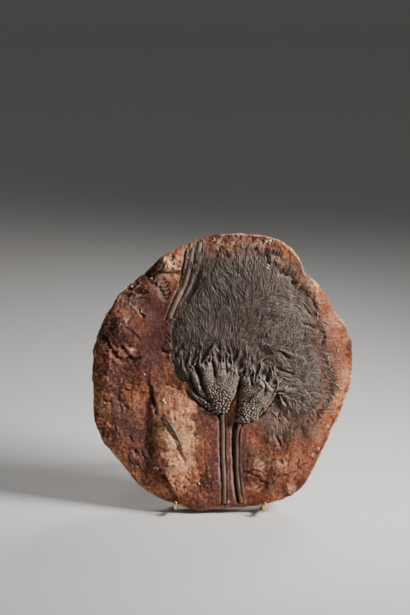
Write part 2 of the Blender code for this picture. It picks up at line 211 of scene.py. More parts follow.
def facets(x, y, size, seed):
    """Flat broken faces of that size, each with its own tilt, as a share of the size."""
    dice = np.random.default_rng(seed)
    jog_x, jog_y = dice.uniform(0.1, 0.9, (2, WRAP, WRAP))
    lean_x, lean_y = dice.normal(0, 0.5, (2, WRAP, WRAP))
    level = dice.uniform(-0.3, 0.3, (WRAP, WRAP))
    u, v = x / size + 200, y / size + 200
    nearest, height = np.full(x.shape, 9.0), np.zeros(x.shape)
    for step in range(9):
        i, j = np.floor(u) + step % 3 - 1, np.floor(v) + step // 3 - 1
        cell = (j.astype(int) % WRAP, i.astype(int) % WRAP)
        aside, along = u - i - jog_x[cell], v - j - jog_y[cell]
        distance = aside ** 2 + along ** 2
        height = np.where(
            distance < nearest, aside * lean_x[cell] + along * lean_y[cell] + level[cell], height
        )
        nearest = np.minimum(distance, nearest)
    return height


ragged_x, ragged_y = uneven(X, Y, 5, 1, 2), uneven(X, Y, 5, 2, 2)


def oval(across, up, long, wide, turn=0, ragged=0.3, soft=0.5):
    """1 inside a ragged oval whose long axis turns from upright to the right, and 0 outside."""
    turn = math.radians(turn)
    along = ((Y - up) * math.cos(turn) + (X - across) * math.sin(turn)) / long
    aside = ((X - across) * math.cos(turn) - (Y - up) * math.sin(turn)) / wide
    return eased((1 + soft / 2 - np.hypot(along, aside) - ragged * ragged_x) / soft)


def smooth_line(points, count):
    """A smooth curve through the points, as count points evenly spread."""
    points = np.array(points, float)
    reach = np.concatenate([[0], np.cumsum(np.linalg.norm(np.diff(points, axis=0), axis=1))])
    slopes = np.gradient(points, reach, axis=0)
    at = np.linspace(0, reach[-1], count)
    i = np.clip(np.searchsorted(reach, at, "right") - 1, 0, len(points) - 2)
    gap = (reach[i + 1] - reach[i])[:, None]
    t = (at - reach[i])[:, None] / gap
    return (
        points[i] * (1 + 2 * t) * (1 - t) ** 2 + points[i + 1] * t * t * (3 - 2 * t)
        + gap * slopes[i] * t * (1 - t) ** 2 + gap * slopes[i + 1] * t * t * (t - 1)
    )


def cut(field, points, width, depth, ragged=0.5, one_side=0.0):
    """Carves a line into a map, or raises it if the depth is below 0. With one_side the cut has a
    wall on the line's right and dies away on its left over that distance."""
    points = smooth_line(points, 4 * len(points))
    reach = 3 * max(width, one_side) + 1
    (west, south), (east, north) = points.min(0) - reach, points.max(0) + reach
    i, j = max(int((west - WEST) / GRID), 0), max(int((south - SOUTH) / GRID), 0)
    window = np.s_[j:int((north - SOUTH) / GRID) + 1, i:int((east - WEST) / GRID) + 1]
    x, y = X[window] + ragged * ragged_x[window], Y[window] + ragged * ragged_y[window]
    nearest, side = np.full(x.shape, 1e9), np.zeros(x.shape)
    for start, end in zip(points, points[1:]):
        run = end - start
        share = np.clip(((x - start[0]) * run[0] + (y - start[1]) * run[1]) / (run @ run), 0, 1)
        off_x, off_y = x - start[0] - share * run[0], y - start[1] - share * run[1]
        distance = np.hypot(off_x, off_y)
        side = np.where(distance < nearest, np.sign(run[0] * off_y - run[1] * off_x), side)
        nearest = np.minimum(distance, nearest)
    profile = np.exp(-(nearest / width) ** 2)
    if one_side:
        profile = np.where(side > 0, np.exp(-(nearest / one_side) ** 1.5), profile)
    field[window] -= depth * profile


# The heights of the plain model, read straight down onto its face

def tree_of(names):
    """The surface of those parts of the plain model, laid flat, to find where a ray hits it."""
    flat = plate_lean.inverted()
    corners, faces = [], []
    for name in names:
        start = len(corners)
        corners += [flat @ vertex.co for vertex in cad[name].data.vertices]
        faces += [[start + k for k in face.vertices] for face in cad[name].data.polygons]
    return BVHTree.FromPolygons(corners, faces)


def heights_of(*names, step=3):
    """A map of how high those parts of the plain model stand, with nan beside them."""
    target = tree_of(names)
    coarse = np.full(X[::step, ::step].shape, np.nan)
    for j, up in enumerate(Y[::step, 0]):
        for i, across in enumerate(X[0, ::step]):
            hit = target.ray_cast(Vector((across, up, 60)), Vector((0, 0, -1)))[0]
            if hit:
                coarse[j, i] = hit.z
    return np.repeat(np.repeat(coarse, step, 0), step, 1)[:ROWS, :COLUMNS]


bare = heights_of("matrix_slab")
left_mat, right_mat = heights_of("left_arms"), heights_of("right_arms")
both_cups = heights_of("left_cup", "right_cup")
plain = np.where(np.isnan(bare), -5.0, bare)
for raised in (left_mat, right_mat, both_cups):
    plain = np.where(np.isnan(raised), plain, np.fmax(raised, plain))
plain = blurred(plain, 2.2)
in_mat = blurred((~np.isnan(left_mat) | ~np.isnan(right_mat)).astype(float), 1.5)
in_cup = blurred((~np.isnan(both_cups)).astype(float), 1.2)
beside = ((np.isnan(left_mat) & np.isnan(right_mat) & np.isnan(both_cups)) & ~np.isnan(bare)).astype(float)
level = blurred(np.where(beside > 0, bare, 0.0), 7) / (blurred(beside, 7) + 1e-4)
inner = eased((blurred(1 - beside, 6) - 0.42) / 0.5)
inner += (eased((blurred(1 - beside, 14) - 0.52) / 0.46) - inner) * eased((X - 50) / 30)
ground = blurred(np.where(beside > 0, bare, level), 1.5)
corner = oval(92, 294, 28, 17, -49, ragged=0.3, soft=0.9)
ground += (blurred(ground, 7) - ground) * oval(92, 294, 42, 20, -49, ragged=0.1, soft=0.6)

# Where the top and the upper right of the mat still lie under a skin of stone
buried = np.maximum(oval(12, 318, 64, 10, 90, ragged=0.4), oval(84, 290, 34, 11, -49, ragged=0.5, soft=0.9))
rim_of_mat = blurred(1.0 - beside * ~np.isnan(bare), 3) * (1 - 0.8 * buried) * (1 - corner)
rim_of_mat *= 1 - eased(blurred(np.isnan(bare).astype(float), 3) / 0.1)
inner = inner * (1 - buried) * (1 - corner)

# Where the stone is rough: broken at the left and round the rim, smooth between
rough = 0.28 + 0.2 * uneven(X, Y, 45, 11)
for form in (
    (-128, 205, 60, 30, -8), (-112, 258, 22, 26, -30), (-70, 298, 14, 20, -30), (-52, 100, 62, 26, 4),
    (-84, 60, 52, 30, 20), (-60, 25, 16, 60, -10), (-135, 110, 40, 22, 0), (62, 50, 44, 46, 0),
    (20, 324, 8, 70, 0), (-80, 88, 42, 7, 4),
):
    rough = np.maximum(rough, oval(*form, ragged=0.4, soft=0.9) * (0.72 + 0.3 * uneven(X, Y, 20, 12)))
rough *= 1 - 0.75 * oval(-80, 215, 62, 17, 6, soft=0.8)
rough *= 1 - 0.6 * oval(112, 110, 40, 22, 20, soft=0.8)
rough *= 1 - 0.5 * oval(-54, 98, 50, 20, -6, soft=0.8)
rough *= 1 - 0.35 * oval(66, 50, 50, 50, 0, soft=0.8)
rough = np.clip(rough, 0.08, 1.2)

wander_x = X + 3.5 * uneven(X, Y, 14, 13, 2)
wander_y = Y + 3.5 * uneven(X, Y, 14, 14, 2)
stone = ground + 0.5 * uneven(X, Y, 22, 15, 2)
stone += rough * (
    1.7 * facets(wander_x, wander_y * 1.3, 19, 16) + 1.1 * facets(wander_x * 1.2, wander_y, 8.5, 17)
    + 0.8 * facets(wander_x, wander_y, 4.6, 21) + 0.8 * facets(X, Y * 0.8, 3.0, 22)
    + 0.35 * uneven(X, Y, 2.0, 19)
)
stone += (0.35 + 0.5 * rough) * (0.55 * facets(X, Y, 2.4, 23) + 0.25 * uneven(X, Y, 1.5, 20))

# The mound at the lower left: steep on its left, with a long slope to the right
MOUND_EDGE = ((-80, 122), (-79, 112), (-78.5, 98), (-77, 84), (-74, 66), (-69, 52))
cut(stone, MOUND_EDGE, 6.0, -6.0, ragged=2.4, one_side=28)
cut(stone, MOUND_EDGE[::-1], 2.0, 1.0, ragged=1.6, one_side=15)
stone -= 2.4 * oval(-42, 98, 50, 17, 8, ragged=0.2, soft=1.0)

# Steps and ledges: the stone falls away on the left of each line
for line, drop, reach in (
    (((-110, 186), (-119, 184), (-128, 192), (-134, 204), (-142, 214)), 2.8, 4),
    (((-99, 187), (-104, 184), (-111, 190), (-118, 199)), 2.4, 3),
    (((-99, 209), (-106, 216), (-114, 224)), 1.6, 3),
    (((-66, 153), (-58, 150), (-50, 149)), 1.8, 2.5),
    (((-112, 258), (-102, 261), (-93, 262)), 1.8, 4),
    (((-57, 288.5), (-66, 287), (-74, 289)), 3.8, 5),
    (((-88, 60), (-96, 76), (-97, 90)), 1.0, 6), (((-84, 36), (-92, 46), (-100, 58)), 1.2, 5),
    (((-53, 18), (-62, 34), (-72, 52)), 3.0, 4), (((-120, 132), (-122, 144), (-118, 156)), 1.0, 5),
    (((-29, 35), (-36, 38), (-44, 44)), 1.6, 3),
    (((-70, 262), (-76, 270), (-84, 276), (-88, 284)), 1.8, 4),
    (((60, 66), (50, 58), (36, 52), (26, 50)), 1.6, 3),
    (((96, 60), (84, 50), (70, 46), (60, 38)), 1.4, 3),
    (((118, 206), (121, 214), (118, 222)), 1.0, 3),
    (((100, 230), (112, 216), (116, 200)), 0.5, 4),
):
    cut(stone, line, 0.9, drop, ragged=1.4, one_side=reach)

# Cracks, pits and scratches
for line, width, depth in (
    (((-69, 38), (-62, 28), (-54, 15)), 0.9, 1.6), (((64, 94), (67, 88), (70, 82)), 1.3, 3.2),
    (((45, 40), (50, 39), (55, 37)), 1.2, 2.2), (((30, 49), (37, 47), (45, 44)), 0.8, 1.6),
    (((130, 245), (125, 239), (121, 232)), 0.7, 0.8), (((119, 217), (118, 209), (119, 201)), 1.3, 1.1),
    (((-141, 100), (-142, 93), (-146, 88)), 2.2, 3.0), (((-97, 242), (-96, 238), (-94, 235)), 1.6, 2.4),
    (((-88, 286), (-86, 283), (-84, 281)), 2.6, 3.6), (((-62, 302), (-58, 297)), 1.0, 1.6),
    (((-86, 151), (-84, 140), (-79, 128), (-78, 118)), 1.7, 2.6),
    (((-70, 195), (-66, 193), (-62, 194)), 1.8, 2.6),
    (((-138, 136), (-134, 133)), 2.0, 2.2), (((-104, 74), (-100, 70)), 1.6, 1.6),
    (((-110, 92), (-106, 86)), 1.4, 1.6),
    (((-90, 108), (-87, 100)), 1.3, 1.2), (((-70, 110), (-62, 97), (-54, 82)), 1.3, 1.8),
    (((18, 304), (24, 308), (27, 315)), 0.8, 1.2), (((12, 320), (20, 317)), 0.8, 1.0),
    (((-33, 100), (-31, 70), (-26, 44)), 0.9, 0.7), (((-22, 96), (-20, 60), (-17, 30)), 0.8, 0.6),
    (((8, 108), (9, 80), (10, 40)), 0.8, 1.0), (((34, 96), (30, 70), (29, 40)), 0.9, 0.7),
):
    cut(stone, line, width, depth, ragged=1.0)

# Knobs of ochre rock above the stem mould, and chips that stand proud
for across, up, size, rise in (
    (-75, 294, 4.5, 2.6), (-68, 301, 4, 2.4), (-61, 297, 4.5, 2.8), (-56, 303, 4, 2.2), (-66, 291, 3.5, 2.6),
    (-72, 303, 3, 1.8), (-64, 199, 5.5, 1.8), (-109, 194, 3.5, 2.2), (-130, 197, 4, 1.8),
    (-139, 160, 4, 1.8), (-60, 84, 9, 2.4),
    (-64, 116, 7, 1.8), (-56, 62, 7, 1.8), (-120, 230, 6, 1.8), (-134, 140, 5, 1.6), (44, 58, 7, 1.4),
    (68, 58, 7, 1.6), (84, 34, 6, 1.2), (-50, 26, 6, 1.4),
):
    stone += rise * oval(across, up, size, size * 0.8, up % 90, ragged=0.5, soft=0.7)

# Furrows beside the stems, and the mould of a lost stem with its ribs
LEFT_STEM = ((0, 118.5), (1, 97), (1, 77), (2.2, 55), (3.4, 32), (3.6, 11))
RIGHT_STEM = (
    (20.2, 108.4), (18.8, 102), (17.6, 92), (17.2, 78), (17.4, 62), (18, 47), (19.2, 34), (22.8, 12)
)
cut(stone, [(across - 3.2, up) for across, up in LEFT_STEM], 0.9, 1.6, ragged=0.4)
cut(stone, ((-1.8, 77), (-1.1, 66), (-0.2, 52), (0.6, 38)), 1.4, 2.4, ragged=0.5)
cut(stone, [(across + 3.4, up) for across, up in LEFT_STEM], 1.6, -1.1, ragged=0.5)
cut(
    stone, (
        (16.4, 108), (14.1, 99.5), (13.7, 83), (14, 74), (14.6, 66), (15.6, 49), (17, 32), (18.3, 24),
        (19.6, 15)
    ),
    2.3, 5.5, ragged=0.5,
)
cut(stone, [(across + 4.4, up) for across, up in RIGHT_STEM[1:]], 1.6, -1.3, ragged=0.5)
cut(
    stone, ((-42, 147), (-34, 137.5), (-26, 130.5), (-18, 125.5), (-9, 121.5), (-3, 117)), 1.5, 3.2,
    ragged=0.4
)
cut(stone, ((-70, 114), (-60.5, 99), (-53.5, 85), (-48, 71), (-43, 61)), 1.5, 1.8, ragged=0.8)
for line in (
    ((-33.6, 307), (-36.7, 290), (-43, 271), (-49.5, 257.6), (-57.5, 240), (-59.4, 234)),
    ((-44.5, 308), (-49, 283), (-52, 269), (-57, 257.6), (-64, 239), (-67, 231)),
):
    cut(stone, line, 0.9, 1.5, ragged=0.4)
mould_x, mould_y = (X + 69) * 0.98 + (Y - 267) * 0.2, (Y - 267) * 0.98 - (X + 69) * 0.2
in_mould = eased((1.2 - np.hypot(mould_x / 6, mould_y / 13.5) - 0.2 * ragged_x) / 0.4)
stone -= in_mould * (1.2 - 0.65 * np.cos(math.tau * (mould_y - 0.07 * mould_x ** 2) / 4.7))

# How far each spot lies below its surroundings: the stone's finish uses it to paint shade into the crevices
# and pits and a highlight on the ridges
hollow = np.clip((blurred(stone, 1.7) - stone) / 0.75, -1, 1)
stone = stone - (1.7 - 0.7 * eased((X - 50) / 30)) * eased((rim_of_mat - 0.3) / 0.5) - 6.0 * inner
stone -= 1.3 * oval(-47, 252, 24, 5, 24, ragged=0.2)

def patches(field, forms, ragged, soft):
    """A map raised to each form's last value inside its oval."""
    for *form, share in forms:
        field = np.maximum(field, share * oval(*form, ragged=ragged, soft=soft))
    return field


# Colours of the stone: ochre crusts, purple clay, pale lime and grey silt, each a soft-edged map
ochre = 0.25 * np.clip(uneven(X, Y, 16, 31, 3), 0, 1) * (0.3 + rough)
ochre = patches(ochre, (
    (-66, 297, 9, 17, 60, 1.0), (-62, 88, 18, 11, 5, 1.0), (-56, 104, 44, 20, -6, 0.75),
    (-66, 88, 24, 12, 8, 1.0), (-52, 66, 26, 15, -10, 0.85),
    (-142, 127, 30, 9, -8, 0.5), (-118, 60, 34, 8, -45, 0.5), (-80, 24, 9, 24, 0, 0.45),
    (1, 316, 9, 8, 0, 0.9),
    (44, 316, 9, 7, -30, 0.7), (43, 58, 7, 10, 0, 0.45), (68, 58, 8, 7, 0, 0.45), (38, 31, 5, 8, 0, 0.5),
    (83, 29, 5, 6, 0, 0.7), (108, 277, 10, 7, -35, 0.8), (132, 232, 12, 6, -30, 0.6),
    (-46, 322, 6, 12, 60, 0.7),
    (-116, 240, 14, 12, 0, 0.35), (-109, 194, 4, 5, 0, 0.9), (140, 150, 24, 8, 10, 0.4),
    (60, 300, 12, 9, -30, 0.5),
), ragged=0.55, soft=1.2)
orange = 0.35 * np.clip(uneven(X, Y, 24, 32, 3), 0, 1)
orange = patches(orange, (
    (-53, 313, 8, 11, 60, 0.9), (-143, 128, 34, 10, -8, 0.6), (-96, 56, 44, 9, -40, 0.6),
    (82, 312, 14, 12, -40, 0.7),
    (110, 262, 30, 10, -38, 0.7), (136, 196, 40, 14, -10, 0.6), (126, 130, 40, 16, 20, 0.7),
    (100, 84, 40, 18, 30, 0.4),
    (-48, 118, 34, 16, 8, 0.6), (-30, 20, 8, 40, 0, 0.3), (52, 20, 8, 30, 0, 0.3),
    (-96, 144, 24, 18, -20, 0.8),
    (-140, 118, 26, 9, -8, 0.8), (-50, 44, 12, 26, -20, 0.6), (-106, 62, 34, 16, -35, 0.85),
), ragged=0.45, soft=0.9)
purple = 0.3 * np.clip(uneven(X, Y, 28, 33, 3), 0, 1) + 0.35 * eased((-40 - X) / 70)
purple = patches(purple, (
    (-80, 214, 62, 20, 8, 1.0), (-120, 112, 26, 12, 0, 0.9), (-100, 72, 32, 14, -8, 0.95),
    (-86, 128, 16, 6, 15, 1.0),
    (68, 101, 7, 9, 0, 0.7), (8, 60, 60, 20, 0, 1.0), (-108, 230, 14, 10, 0, 0.5),
    (-110, 258, 4, 11, 75, 0.8),
    (118, 210, 12, 8, 0, 0.5), (-14, 300, 12, 20, 0, 0.4), (50, 303, 8, 14, -20, 0.5),
    (128, 205, 44, 13, -10, 0.5),
    (-100, 168, 30, 30, 0, 0.55), (-118, 80, 26, 12, -20, 0.5),
), ragged=0.45, soft=0.9)
grey = np.zeros(X.shape)
grey = patches(grey, (
    (-109, 252, 7, 9, 0, 0.7), (30, 317, 10, 10, -30, 0.8), (-30, 322, 8, 12, 60, 0.5),
    (-69, 268, 16, 8, -25, 0.45),
    (62, 112, 17, 26, 70, 0.75), (96, 108, 18, 22, 40, 0.6), (116, 160, 36, 18, 15, 0.55),
    (88, 288, 22, 11, -49, 0.7),
    (-62, 106, 10, 6, 20, 0.4), (84, 268, 14, 12, -30, 0.5), (8, 306, 10, 40, 0, 0.5),
    (106, 212, 30, 12, 0, 0.4),
    (-50, 262, 16, 7, 24, 0.9),
), ragged=0.5, soft=1.0)
edge_of_plate = blurred(np.isnan(bare).astype(float), 1.6)
ochre = np.maximum(
    ochre, eased((edge_of_plate - 0.08) / 0.3) * np.clip(0.4 + 0.9 * uneven(X, Y, 11, 34, 3), 0, 1)
)
tones = np.clip(
    np.stack([ochre, orange, purple, np.maximum(grey, 0.8 * eased((rim_of_mat - 0.3) / 0.4))], -1), 0, 1
)

stone_finish, tree, shader = finish("red_stone_finish")
place = node(tree, "TexCoord").outputs["Object"]


def grain(tree, place, scale, detail=4, rough=0.55, low=0.35, high=0.65):
    """Noise of that scale, spread out between 0 and 1."""
    spots = node(tree, "TexNoise", {"Vector": place, "Scale": scale, "Detail": detail, "Roughness": rough})
    spread = node(tree, "MapRange", {"Value": spots.outputs["Fac"], "From Min": low, "From Max": high})
    return spread.outputs["Result"]


def mixed(tree, share, first, second, kind="MIX"):
    """Two colours mixed by a share."""
    blend = node(tree, "Mix", {0: share, 6: first, 7: second}, data_type="RGBA", blend_type=kind)
    return blend.outputs[2]


def ramped(tree, value, low, high, start, end):
    """A value between low and high, spread out between start and end."""
    sockets = {"Value": value, "From Min": low, "From Max": high, "To Min": start, "To Max": end}
    return node(tree, "MapRange", sockets).outputs["Result"]


def sums(tree, kind, first, second):
    """Two values joined by one step of arithmetic."""
    return node(tree, "Math", {0: first, 1: second}, operation=kind).outputs[0]


tone = node(tree, "Attribute", attribute_name="tones")
each_tone = node(tree, "SeparateColor", {"Color": tone.outputs["Color"]})
sunken = node(tree, "Attribute", attribute_name="hollow").outputs["Fac"]
colour = mixed(
    tree, grain(tree, place, 24, 9, 0.6, 0.38, 0.62), (0.044, 0.0105, 0.0065, 1), (0.165, 0.039, 0.017, 1)
)
colour = mixed(
    tree, sums(tree, "MULTIPLY", grain(tree, place, 120, 5, 0.7, 0.48, 0.75), 0.5), colour,
    (0.36, 0.100, 0.041, 1)
)
colour = mixed(
    tree, sums(tree, "MULTIPLY", grain(tree, place, 75, 5, 0.6, 0.5, 0.8), 0.6), colour,
    (0.054, 0.016, 0.012, 1)
)
patchy = grain(tree, place, 210, 6, 0.65, 0.24, 0.55)
ochre_paint = mixed(tree, grain(tree, place, 34, 4), (0.84, 0.36, 0.19, 1), (0.82, 0.49, 0.25, 1))
for output, paint in (
    ("Green", (0.44, 0.120, 0.040, 1)), ("Red", ochre_paint), ("Blue", (0.074, 0.023, 0.022, 1))
):
    share = sums(tree, "MULTIPLY", each_tone.outputs[output], patchy)
    colour = mixed(tree, share, colour, paint)
silt = sums(tree, "MULTIPLY", tone.outputs["Alpha"], grain(tree, place, 160, 5, 0.6, 0.25, 0.55))
colour = mixed(tree, silt, colour, (0.150, 0.120, 0.098, 1))
flecks = sums(tree, "MULTIPLY", grain(tree, place, 520, 3, 0.6, 0.62, 0.72), 0.5)
colour = mixed(tree, flecks, colour, (0.56, 0.40, 0.27, 1))
colour = mixed(
    tree, 0.6, colour,
    node(tree, "ValToRGB", {"Fac": grain(tree, place, 420, 6, 0.75, 0.34, 0.66)}).outputs["Color"],
    "OVERLAY"
)
# Painted shade darkens the crevices and pits by the hollow map, and a painted highlight lightens the raised
# ridges to pink
shade = ramped(tree, sunken, 0.0, 1.0, 0.0, 0.72)
colour = mixed(tree, shade, colour, (0.035, 0.016, 0.013, 1))
ridge_highlight = ramped(tree, sunken, 0.0, -0.8, 0.0, 0.35)
colour = mixed(tree, ridge_highlight, colour, (0.46, 0.25, 0.17, 1))
tree.links.new(colour, shader.inputs["Base Color"])
gloss = ramped(tree, grain(tree, place, 260, 5), 0.0, 1.0, 0.42, 0.75)
tree.links.new(gloss, shader.inputs["Roughness"])
shader.inputs["Specular IOR Level"].default_value = 0.28
coarse_bump = node(
    tree, "Bump", {"Height": grain(tree, place, 330, 7, 0.65, 0, 1), "Strength": 0.75, "Distance": 1.6 * MM}
)
fine_bump = node(tree, "Bump", {
    "Height": grain(tree, place, 1300, 4, 0.6, 0, 1), "Strength": 0.7, "Distance": 0.4 * MM,
    "Normal": coarse_bump.outputs["Normal"],
})
tree.links.new(fine_bump.outputs["Normal"], shader.inputs["Normal"])


FADE_FROM = -12.0


def add_piece(mesh, name, material, nodes=(), maps=()):
    """Puts a mesh measured on the plate in its place, with its finish and its maps, which fade to 0
    behind that depth."""
    places = np.zeros(len(mesh.vertices) * 3)
    mesh.vertices.foreach_get("co", places)
    across, up = places[0::3], places[1::3]
    shown = eased((places[2::3] - FADE_FROM) / 6)
    for map_name, field in dict(maps).items():
        many = field.ndim == 3
        layer = mesh.attributes.new(map_name, "FLOAT_COLOR" if many else "FLOAT", "POINT")
        if many:
            rows = [shown * read(field[..., k], across, up) for k in range(4)]
            layer.data.foreach_set("color", np.stack(rows, -1).ravel())
        else:
            layer.data.foreach_set("value", shown * read(field, across, up))
    mesh.transform(plate_lean)
    mesh.materials.append(material)
    mesh.shade_smooth()
    piece = bpy.data.objects.new(name, mesh)
    bpy.context.scene.collection.objects.link(piece)
    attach(piece, "root")
    if nodes:
        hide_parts(*nodes)
    return piece


def move_points(mesh, place):
    """Moves every point of a mesh at once: place takes and gives arrays of x, y and z."""
    points = np.zeros(len(mesh.vertices) * 3)
    mesh.vertices.foreach_get("co", points)
    mesh.vertices.foreach_set("co", np.stack(place(*points.reshape(-1, 3).T), -1).ravel())


CENTRE = np.array([0.0, 166.0])
FACE_CELLS, RIM_RINGS = 264, 10
angles = np.linspace(-math.pi, math.pi, 1441)
slab_tree = tree_of(["matrix_slab"])
radii = []
for angle in angles:
    way = Vector((math.cos(angle), math.sin(angle), 0))
    hit = slab_tree.ray_cast(Vector((0, 166, -9)) + way * 250, -way)[0]
    radii.append((hit - Vector((0, 166, -9))).length)
radii = np.array(radii)
chips = uneven(150 * np.cos(angles), 150 * np.sin(angles), 9, 41, 3) * 0.8
chips += 0.9 * np.clip(uneven(150 * np.cos(angles), 150 * np.sin(angles), 26, 42, 2), -1, 0)
chips += 0.5 * uneven(150 * np.cos(angles), 150 * np.sin(angles), 4, 43)
radii += chips + 1.3


def rim_radius(angle):
    """How far the chipped rim is from the plate's centre, that way."""
    return np.interp(angle, angles, radii)


def on_face(x, y, z):
    """Bends the square grid to the plate's outline, and raises it to the map."""
    disc_x, disc_y = x * np.sqrt(1 - y * y / 2), y * np.sqrt(1 - x * x / 2)
    reach = rim_radius(np.arctan2(disc_y, disc_x))
    across, up = disc_x * reach + CENTRE[0], disc_y * reach + CENTRE[1]
    share = np.hypot(disc_x, disc_y)
    return across, up, read(stone, across, up) - 1.1 * eased((share - 0.986) / 0.014)


shape = bmesh.new()
bmesh.ops.create_grid(shape, x_segments=FACE_CELLS, y_segments=FACE_CELLS, size=1)
mesh = bpy.data.meshes.new("stone_plate")
shape.to_mesh(mesh)
move_points(mesh, on_face)
shape.clear()
shape.from_mesh(mesh)
edges = [edge for edge in shape.edges if edge.is_boundary]
back_shares = (0.95, 0.915, 0.87, 0.82, 0.76, 0.69, 0.61, 0.52, 0.43, 0.34, 0.25, 0.16, 0.08)
top = {}
for ring_number in range(1, RIM_RINGS + 1 + len(back_shares)):
    ring = bmesh.ops.extrude_edge_only(shape, edges=edges)["geom"]
    edges = [item for item in ring if isinstance(item, bmesh.types.BMEdge)]
    for vertex in (item for item in ring if isinstance(item, bmesh.types.BMVert)):
        x, y = vertex.co.x - CENTRE[0], vertex.co.y - CENTRE[1]
        angle = math.atan2(y, x)
        reach = float(rim_radius(angle))
        way = Vector((math.cos(angle), math.sin(angle), 0))
        if ring_number <= RIM_RINGS:
            share = ring_number / RIM_RINGS
            depth = vertex.co.z + (-24.9 - vertex.co.z) / (RIM_RINGS + 1 - ring_number)
            spot = Vector((way.x * 150, way.y * 150, depth * 1.3))
            broken = noise.fractal(spot / 13, 0.9, 2.0, 4)
            edge = 0.4 + 1.5 * max(broken, -0.25) + 1.6 * abs(noise.noise(spot / 7))
            reach *= 1 - 0.034 * max(share - 0.4, 0) ** 1.6 / 0.44
            reach -= edge * min(share * 5, 1)
        else:
            reach *= back_shares[ring_number - RIM_RINGS - 1] * 0.99
            spot = way * reach / 22
            depth = -24.9 + 1.6 * abs(noise.fractal(spot, 0.8, 2.1, 2))
        vertex.co = Vector((CENTRE[0], CENTRE[1], depth)) + way * reach
hub = list({vertex for edge in edges for vertex in edge.verts})
bmesh.ops.pointmerge(shape, verts=hub, merge_co=(CENTRE[0], CENTRE[1], -24.5))
bmesh.ops.recalc_face_normals(shape, faces=shape.faces)
shape.to_mesh(mesh)
shape.free()
add_piece(mesh, "stone_plate", stone_finish, ["matrix_slab"], {"tones": tones, "hollow": hollow})


# ---------------------------------------------------------------- the cups
# Each animal's body is a cup of limestone plates: small round plates near the stem, which run
# together upwards into smooth lobes with deep gaps between them, where the arms begin.

LEFT_CUP = {
    "base": ((-6, 119), (5, 119)),
    "rim": ((-42, 160), (-39, 172), (-30, 179), (-17, 181), (-2, 182), (12, 179), (22, 167)),
    "left": ((-6, 119), (-17, 125.5), (-31, 137.5), (-40, 151), (-42, 160)),
    "right": ((5, 119), (10, 131), (16, 143), (19, 155), (22, 167)),
}
RIGHT_CUP = {
    "base": ((17, 110), (28, 109)),
    "rim": ((22.8, 166.6), (35, 165), (47, 161), (56, 156), (66, 146)),
    "left": ((17, 110), (19, 124), (20, 138), (21.5, 152), (22.8, 166.6)),
    "right": ((28, 109), (41, 113), (50, 122), (59, 134), (66, 146)),
}


def spread(sides):
    """Spans four edge curves: a function of the shares across and from base to rim."""
    base, rim, left, right = (smooth_line(sides[side], 200) for side in ("base", "rim", "left", "right"))
    steps = np.linspace(0, 1, 200)

    def at(curve, share):
        return np.stack([np.interp(share, steps, curve[:, k]) for k in range(2)], -1)

    def place(across, along):
        u, v = np.asarray(across)[..., None], np.asarray(along)[..., None]
        rows = at(base, across) * (1 - v) + at(rim, across) * v
        columns = at(left, along) * (1 - u) + at(right, along) * u
        corners = (base[0] * (1 - u) + base[-1] * u) * (1 - v) + (rim[0] * (1 - u) + rim[-1] * u) * v
        return rows + columns - corners

    return place


cup_map = plain.copy() - 0.9
cup_map -= 3.0 * eased((-20 - X - 0.35 * (Y - 150)) / 16) * in_cup
for across, up, long, wide, turn, rise in (
    (-18, 170, 13, 6, -8, 1.0), (-1, 172, 13, 6.5, 0, 1.1), (13, 170, 12, 6, 6, 0.9),
    (28, 160, 12, 6, 10, 0.7),
    (43, 152, 13, 7, 35, 1.0), (58, 142, 12, 5, 38, 0.8), (-33, 163, 15, 3, -28, 1.2),
    (21, 163, 14, 6, 8, 1.6),
):
    cup_map += rise * oval(across, up, long, wide, turn, ragged=0.1, soft=1.2)
for line, width, depth in (
    (((-35, 186), (-33.6, 181.6), (-26.7, 167), (-22.8, 153), (-18, 142.5), (-14, 135)), 2.4, 6.5),
    (((-43, 178), (-40, 170), (-35.5, 156), (-28.7, 144.5), (-18, 135.5), (-10, 130)), 1.8, 4.6),
    (((-43.5, 154), (-37.5, 148.5), (-31.6, 141.5), (-24, 136.5), (-16, 131.6), (-7, 128)), 1.3, -3.2),
    (((-16, 189), (-11, 180), (-9, 172), (-8.4, 165)), 1.5, 3.6),
    (((0.7, 189.4), (4.5, 179), (5.4, 170)), 1.2, 2.6), (((14, 186), (19, 176), (20, 166)), 1.2, 2.0),
    (((31, 168), (34, 161), (35.5, 155)), 1.4, 3.0), (((47, 161), (51, 154), (50.5, 148)), 1.4, 2.6),
    (((49, 152), (42.5, 145), (34.5, 136.5)), 1.2, -1.9), (((52, 149), (46, 141), (38, 133)), 1.6, 1.2),
    (((64, 143), (58, 133), (50, 124.5)), 1.1, -2.6), (((62, 148), (55, 136), (46, 126)), 1.5, 1.8),
    (((18, 152), (18.6, 133), (18.8, 112)), 1.0, 1.6),
):
    cut(cup_map, line, width, depth, ragged=0.35)
cup_map += 0.4 * uneven(X, Y, 1.8, 51, 2) + 0.3 * uneven(X, Y, 6, 52)
# How far each spot of the cups lies below its surroundings: it paints shade into their gaps, and keeps the
# round plates out of the deepest
fossil_hollow = np.clip((blurred(cup_map, 1.6) - cup_map) / 1.4, -1, 1)

